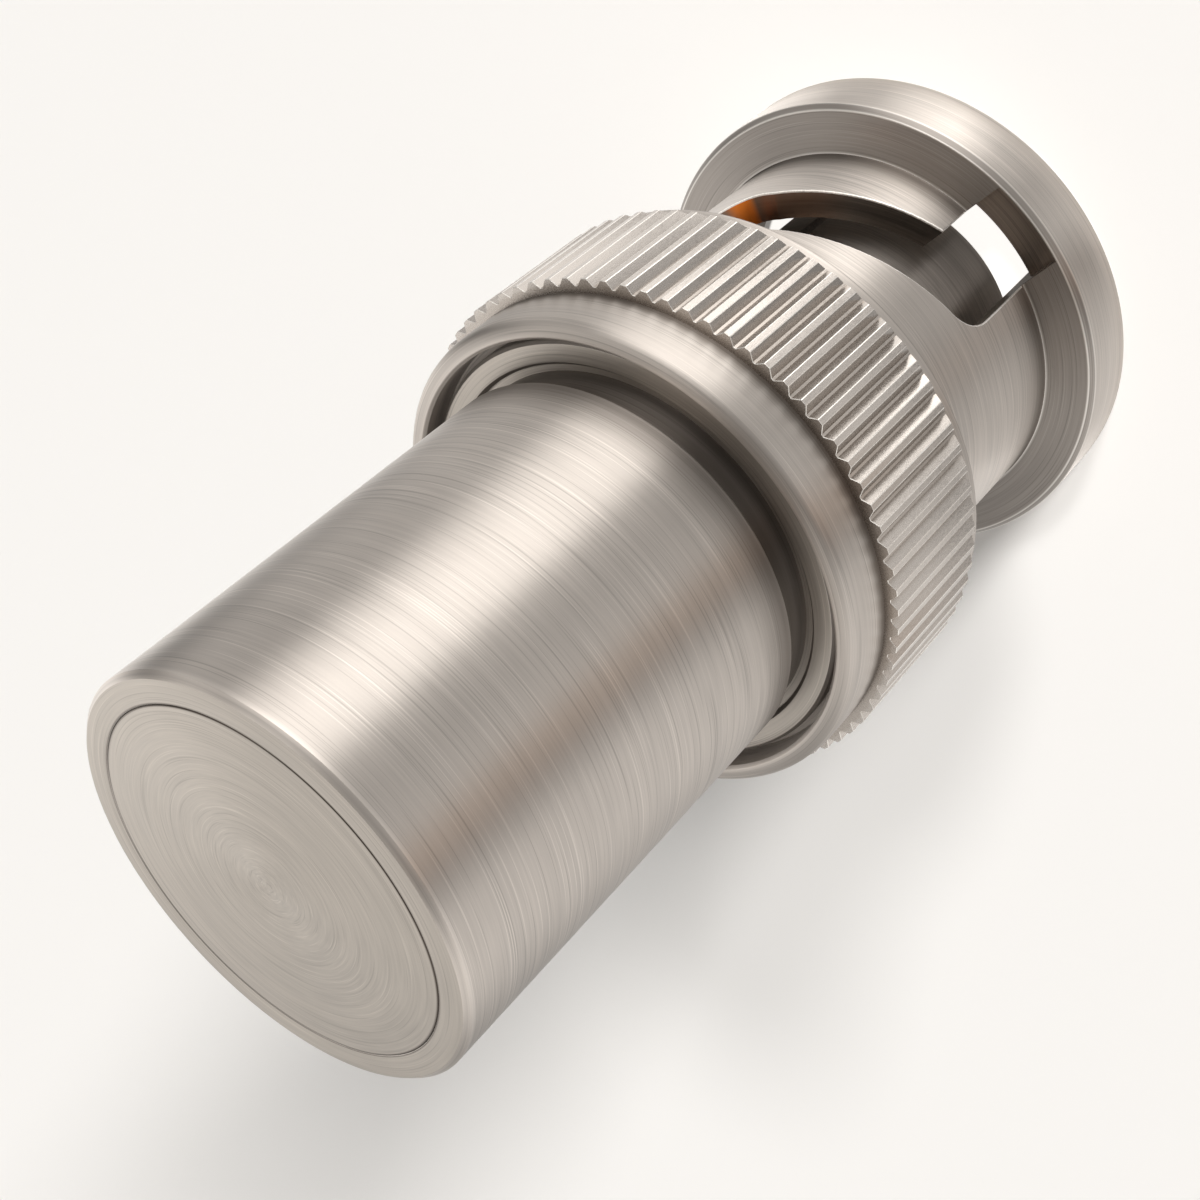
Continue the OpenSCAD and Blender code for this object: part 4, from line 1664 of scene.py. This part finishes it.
    def build_gasket(self) -> bpy.types.Object:
        """Turn the gasket that seals on the jack.

        Returns:
            The finished gasket.
        """
        corners = [
            Corner(self.gasket_bore, self.gasket_bottom, self.gasket_edge),
            Corner(self.gasket_r, self.gasket_bottom, self.gasket_edge),
            Corner(self.gasket_r, self.gasket_top, self.gasket_edge),
            Corner(self.gasket_bore, self.gasket_top, self.gasket_edge),
        ]
        piece = Bench.turn("gasket_moulded", corners, self.SEGMENTS)
        return Bench.finish(piece, RED_SILICONE, "gasket_silicone")


@dataclass
class InnerParts:
    """The pieces that keep their solids' shapes: washers, insulating bead, and the soldered load."""

    wave_seat: float = 12.38 * MM
    wave_room: float = 0.94 * MM
    pull: float = 0.6 * MM
    slack: float = 0.02 * MM

    WAVES = ("wave_washer_rear", "wave_washer_front")
    STEEL = WAVES + ("thrust_washer", "retaining_ring")
    TINNED = ("front_lead", "resistor_front_cap", "resistor_rear_cap", "rear_lead", "ground_disc")
    FINISHES = (
        (SPRING_STEEL, "oiled_spring_steel", STEEL),
        (SATIN_TIN, "satin_tin", TINNED),
        (BRIGHT_SOLDER, "bright_solder", ("front_solder", "rear_solder")),
        (WHITE_INSULATOR, "white_bead", ("rear_dielectric",)),
        (BLUE_LACQUER, "resistor_lacquer", ("resistor_core",)),
    )

    def finishes(self) -> dict[str, bpy.types.Material]:
        """Make the finishes.

        Returns:
            Materials by the solids' names.
        """
        chosen = {}
        for finish, name, nodes in self.FINISHES:
            material = finish.material(name)
            chosen.update({node: material for node in nodes})
        return chosen

    def dress(self) -> None:
        """Give every kept solid its finish."""
        for node, material in self.finishes().items():
            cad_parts[node].material_slots[0].material = material
            LOG.info("%s: %s", node, material.name)
            if node in self.WAVES:
                self.spring(node, material)

    def spring(self, node: str, material: bpy.types.Material) -> None:
        """Put a copy in the place of a wave washer. The copy keeps the washer's shape, though the real washer
        flattens as the nut is pulled.

        Args:
            node: Solid of the washer.
            material: Finish of the washer.
        """
        piece = bpy.data.objects.new(f"{node}_sprung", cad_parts[node].data.copy())
        bpy.context.collection.objects.link(piece)
        piece.material_slots[0].material = material
        Bench.deliver(piece, Body.WASHERS, node, "spring_steel")
        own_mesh(piece)


@dataclass(frozen=True)
class Card:
    """Tones of the reflections at one azimuth: on the floor, and on the wall behind it."""

    azimuth: float
    floor: RGB
    wall: RGB


WARM_WHITE: RGB = (1.0, 0.98, 0.955)


def grey(level: float) -> RGB:
    """Give a slightly warm grey."""
    red, green, blue = WARM_WHITE
    return red * level, green * level, blue * level


@dataclass(frozen=True)
class ReflectionBowl:
    """A bowl of pale and dark cards round the part, which shows only in reflections.

    The rings near its middle are what the foot, the band before the teeth, the teeth's flanks and
    their lands reflect, and the cards are what the barrel does.
    """

    inner_r: float = 7.4 * MM
    outer_r: float = 56 * MM
    height: float = 60 * MM
    lift: float = 0.15 * MM
    ring_fade: float = 0.5 * MM
    wall_start: float = 0.3 * MM
    wall_full: float = 0.6 * MM
    strength: float = 4.0

    SEGMENTS = 96
    FOOT = (
        (-180, 2.90), (-171, 1.75), (-159, 1.15), (-137, 1.15), (-125, 0.95), (-113, 0.54), (-101, 0.95),
        (-90, 0.68), (-78, 1.05), (-66, 2.40), (-55, 1.75), (-43, 0.88), (-32, 0.98), (-20, 2.05),
        (-9, 2.75), (2, 3.10), (12, 2.80), (22, 2.10), (60, 1.00), (150, 1.20), (168, 2.60), (180, 2.90),
    )
    BAND = (
        (-180, 0.70), (-165, 0.60), (-150, 0.52), (-120, 0.48), (-100, 0.55), (-88, 0.75), (-78, 1.15),
        (-68, 2.50), (-58, 2.90), (-48, 1.80), (-36, 1.20), (-20, 0.95), (30, 1.00), (60, 0.95), (120, 0.75),
        (180, 0.70),
    )
    FLANKS = (
        (-180, 0.90), (-150, 0.50), (-125, 0.30), (-105, 0.30), (-85, 0.45), (-62, 0.40), (-45, 0.55),
        (-30, 1.00), (-10, 1.15), (10, 1.30), (60, 1.10), (120, 0.80), (180, 0.90),
    )
    LANDS = (
        (-180, 0.92), (-152, 0.92), (-140, 0.80), (-132, 0.75), (-124, 0.85), (-112, 1.15), (-90, 1.12),
        (-76, 1.35), (-66, 2.12), (-56, 2.22), (-46, 1.60), (-36, 1.10), (-25, 0.92), (-10, 1.00), (10, 1.15),
        (30, 1.15), (60, 1.10), (104, 0.75), (135, 0.66), (162, 0.90), (180, 0.92),
    )
    RINGS = ((18.5 * MM, LANDS), (16.5 * MM, FLANKS), (14.4 * MM, BAND), (9.5 * MM, FOOT))
    CARDS = (
        Card(-180, grey(0.92), grey(1.10)),
        Card(-152, grey(0.92), grey(0.96)),
        Card(-140, grey(0.72), grey(0.44)),
        Card(-132, (0.60, 0.54, 0.49), (0.36, 0.30, 0.27)),
        Card(-124, (0.66, 0.57, 0.50), (0.72, 0.58, 0.49)),
        Card(-112, grey(0.78), grey(0.85)),
        Card(-90, grey(0.62), grey(0.70)),
        Card(-74, grey(0.80), grey(0.75)),
        Card(-63, grey(2.25), grey(2.00)),
        Card(-46, grey(2.20), grey(2.40)),
        Card(-32, grey(1.80), grey(1.70)),
        Card(-17, grey(0.95), grey(0.40)),
        Card(3, grey(0.85), grey(0.60)),
        Card(14, grey(0.85), grey(0.55)),
        Card(26, grey(0.75), grey(0.12)),
        Card(36, grey(0.85), grey(0.12)),
        Card(50, grey(1.35), grey(1.35)),
        Card(80, grey(1.10), grey(1.10)),
        Card(104, grey(0.75), grey(0.55)),
        Card(135, grey(0.66), grey(0.40)),
        Card(162, grey(0.90), grey(0.90)),
        Card(180, grey(0.92), grey(1.10)),
    )

    def build(self) -> bpy.types.Object:
        """Model the bowl and give it its glow.

        Returns:
            The bowl.
        """
        bpy.ops.object.select_all(action="DESELECT")
        foot = (0, 0, self.lift)
        bpy.ops.mesh.primitive_circle_add(vertices=self.SEGMENTS, radius=self.inner_r, location=foot)
        bpy.ops.object.transform_apply(location=True, rotation=True, scale=True)
        bowl = bpy.context.object
        Bench.name(bowl, "reflection_bowl")
        growth = self.outer_r / self.inner_r
        bpy.ops.object.mode_set(mode="EDIT")
        bpy.ops.mesh.select_all(action="SELECT")
        bpy.ops.mesh.extrude_region_move(TRANSFORM_OT_translate={"value": (0, 0, 0)})
        bpy.ops.transform.resize(value=(growth, growth, 1), center_override=foot)
        bpy.ops.mesh.extrude_region_move(TRANSFORM_OT_translate={"value": (0, 0, self.height)})
        bpy.ops.object.mode_set(mode="OBJECT")
        bowl.data.materials.append(self.material())
        bowl.visible_camera = False
        bowl.visible_diffuse = False
        bowl.visible_shadow = False
        return bowl

    def ramp(self, graph: Graph, share: Value, tones: Sequence[tuple[float, RGB]]) -> Value:
        """Blend from tone to tone round the bowl.

        Args:
            graph: Graph that the nodes go to.
            share: Place round the bowl, from 0 to 1.
            tones: Azimuths in degrees with their tones.

        Returns:
            The colour, scaled down by the strength.
        """
        colour = graph.node("ShaderNodeValToRGB", {}, {0: share})
        ramp = colour.socket.node.color_ramp
        ramp.elements.remove(ramp.elements[-1])
        for number, (azimuth, tone) in enumerate(tones):
            place = math.radians(azimuth) / FULL_TURN + MIDDLE
            stop = ramp.elements.new(place) if number else ramp.elements[0]
            stop.position = place
            stop.color = opaque(tone, 1 / self.strength)
        return colour

    def material(self) -> bpy.types.Material:
        """Make the glow, which goes from card to card.

        Returns:
            The material.
        """
        made = bpy.data.materials.new("reflection_cards")
        graph = Graph(made)
        x, y, z = graph.split(graph.place())
        share = graph.maths("ARCTAN2", y, x) / FULL_TURN + MIDDLE
        radius = (x * x + y * y).root()
        wall = self.ramp(graph, share, [(card.azimuth, card.wall) for card in self.CARDS])
        floor = self.ramp(graph, share, [(card.azimuth, card.floor) for card in self.CARDS])
        for outer, levels in self.RINGS:
            ring = self.ramp(graph, share, [(azimuth, grey(level)) for azimuth, level in levels])
            floor = graph.blend(graph.fade(radius, outer, outer + self.ring_fade), floor, ring)
        colour = graph.blend(graph.fade(z, self.wall_start, self.wall_full), wall, floor)
        glow = graph.node("ShaderNodeEmission", {}, {"Color": colour, "Strength": self.strength})
        graph.node("ShaderNodeOutputMaterial", {}, {"Surface": glow})
        return made


@dataclass(frozen=True)
class Softbox:
    """A wide soft lamp far away, which lights the floor evenly and gives it its shadow."""

    name: str
    azimuth: float
    elevation: float
    strength: float
    spread: float

    def build(self) -> None:
        """Hang the lamp."""
        flat = math.cos(self.elevation)
        x, y = flat * math.cos(self.azimuth), flat * math.sin(self.azimuth)
        away = Vector((x, y, math.sin(self.elevation)))
        data = bpy.data.lights.new(self.name, "SUN")
        data.angle = self.spread
        data.energy = self.strength
        light = bpy.data.objects.new(self.name, data)
        bpy.context.collection.objects.link(light)
        light.location = away
        light.rotation_euler = away.to_track_quat("Z", "Y").to_euler()
        light.visible_camera = False
        light.visible_glossy = False


@dataclass
class Studio:
    """Pale floor, soft lights, reflection cards and the camera."""

    backdrop: RGB = (0.965, 0.939, 0.904)
    floor_size: float = 6.0
    glow_share: float = 0.2
    disc_r: float = 4.9 * MM
    disc_edge: float = 0.1 * MM
    sky_level: float = 0.93
    room_level: float = 0.2
    ambient: float = 0.13
    room_edge: float = 0.2
    camera_place: tuple[float, float, float] = (0.0, -0.0377103, 0.0442479)
    camera_turn: tuple[float, float, float] = (-42.1479, 35.8957, -146.5219)
    lens: float = 56.65
    sensor: float = 36.0
    near: float = 0.001
    far: float = 20.0

    LAMPS = (
        Softbox("key_softbox", math.radians(-63), math.radians(36), 1.34, math.radians(10)),
        Softbox("low_softbox", math.radians(-80), math.radians(8), 13.6, math.radians(15)),
    )

    def rays(self, graph: Graph) -> tuple[Value, Value]:
        """Mask the rays that see the backdrop.

        Args:
            graph: Graph that the nodes go to.

        Returns:
            Mask of the rays that see it straight or through something clear, and of the reflected ones.
        """
        path = graph.node("ShaderNodeLightPath", {}, {}).socket.node.outputs
        straight = Value(graph, path["Is Camera Ray"]) | Value(graph, path["Is Transmission Ray"])
        return straight, Value(graph, path["Is Glossy Ray"])

    def build_floor(self) -> None:
        """Lay the pale floor, which keeps the part's shadow and is lit under the open mouth."""
        bpy.ops.object.select_all(action="DESELECT")
        bpy.ops.mesh.primitive_plane_add(size=self.floor_size)
        floor = bpy.context.object
        Bench.name(floor, "studio_floor")
        material = bpy.data.materials.new("floor_paper")
        graph = Graph(material)
        x, y, _ = graph.split(graph.place())
        straight, reflected = self.rays(graph)
        disc = graph.fade((x * x + y * y).root(), self.disc_r - self.disc_edge, self.disc_r)
        level = (straight | reflected) * self.glow_share + straight * disc * (1 - self.glow_share)
        lit = graph.node("ShaderNodeBsdfDiffuse", {}, {"Color": opaque(self.backdrop, 1 - self.glow_share)})
        glow = graph.node("ShaderNodeEmission", {}, {"Color": opaque(self.backdrop), "Strength": level})
        both = graph.node("ShaderNodeAddShader", {}, {0: lit, 1: glow})
        graph.node("ShaderNodeOutputMaterial", {}, {"Surface": both})
        floor.data.materials.append(material)

    def build_world(self) -> None:
        """Surround the part with pale light, with a darker room on the camera's side in reflections."""
        world = bpy.data.worlds.new("pale_room")
        bpy.context.scene.world = world
        graph = Graph(world)
        straight, reflected = self.rays(graph)
        _, y, _ = graph.split(graph.node("ShaderNodeTexCoord", {}, {}, "Generated"))
        behind = graph.fade(y, self.room_edge, -self.room_edge)
        room = self.room_level + (self.sky_level - self.room_level) * behind
        level = self.ambient + (1 - self.ambient) * straight + (room - self.ambient) * reflected
        sky = graph.node("ShaderNodeBackground", {}, {"Color": opaque(self.backdrop), "Strength": level})
        graph.node("ShaderNodeOutputWorld", {}, {"Surface": sky})

    def build_camera(self) -> None:
        """Set the camera at the photograph's viewing angle."""
        data = bpy.data.cameras.new("camera")
        data.lens = self.lens
        data.sensor_width = self.sensor
        data.clip_start = self.near
        data.clip_end = self.far
        camera = bpy.data.objects.new("camera", data)
        bpy.context.collection.objects.link(camera)
        turn = Euler([math.radians(angle) for angle in self.camera_turn])
        camera.matrix_world = Matrix.LocRotScale(Vector(self.camera_place), turn, None)
        bpy.context.scene.camera = camera

    def build(self) -> None:
        """Set up the whole studio."""
        self.build_floor()
        self.build_world()
        for lamp in self.LAMPS:
            lamp.build()
        ReflectionBowl().build()
        self.build_camera()
        bpy.context.scene.view_settings.view_transform = "Standard"


def main() -> None:
    """Build the part piece by piece and set up its studio."""
    logging.basicConfig(level=logging.INFO, format="%(name)s: %(message)s")
    Studio().build()
    housing = LoadHousing()
    contacts = ContactSet()
    Bench.deliver(CouplingNut().build(), Body.NUT, "coupling_nut", "nut_metal")
    Bench.deliver(PlugBody().build(), Body.PLUG, "plug_body", "body_metal")
    Bench.deliver(housing.build_barrel(), Body.PLUG, "load_housing", "barrel_metal")
    Bench.deliver(housing.build_cap(), Body.PLUG, "end_cap", "cap_metal")
    Bench.deliver(contacts.build_sleeve(), Body.PLUG, "contact_sleeve", "sleeve_metal")
    Bench.deliver(contacts.build_insulator(), Body.PLUG, "front_dielectric", "insulator")
    Bench.deliver(contacts.build_contact(), Body.PLUG, "centre_contact", "contact_gold")
    Bench.deliver(contacts.build_gasket(), Body.PLUG, "gasket", "gasket_rubber")
    InnerParts().dress()


if __name__ == "__main__":
    main()
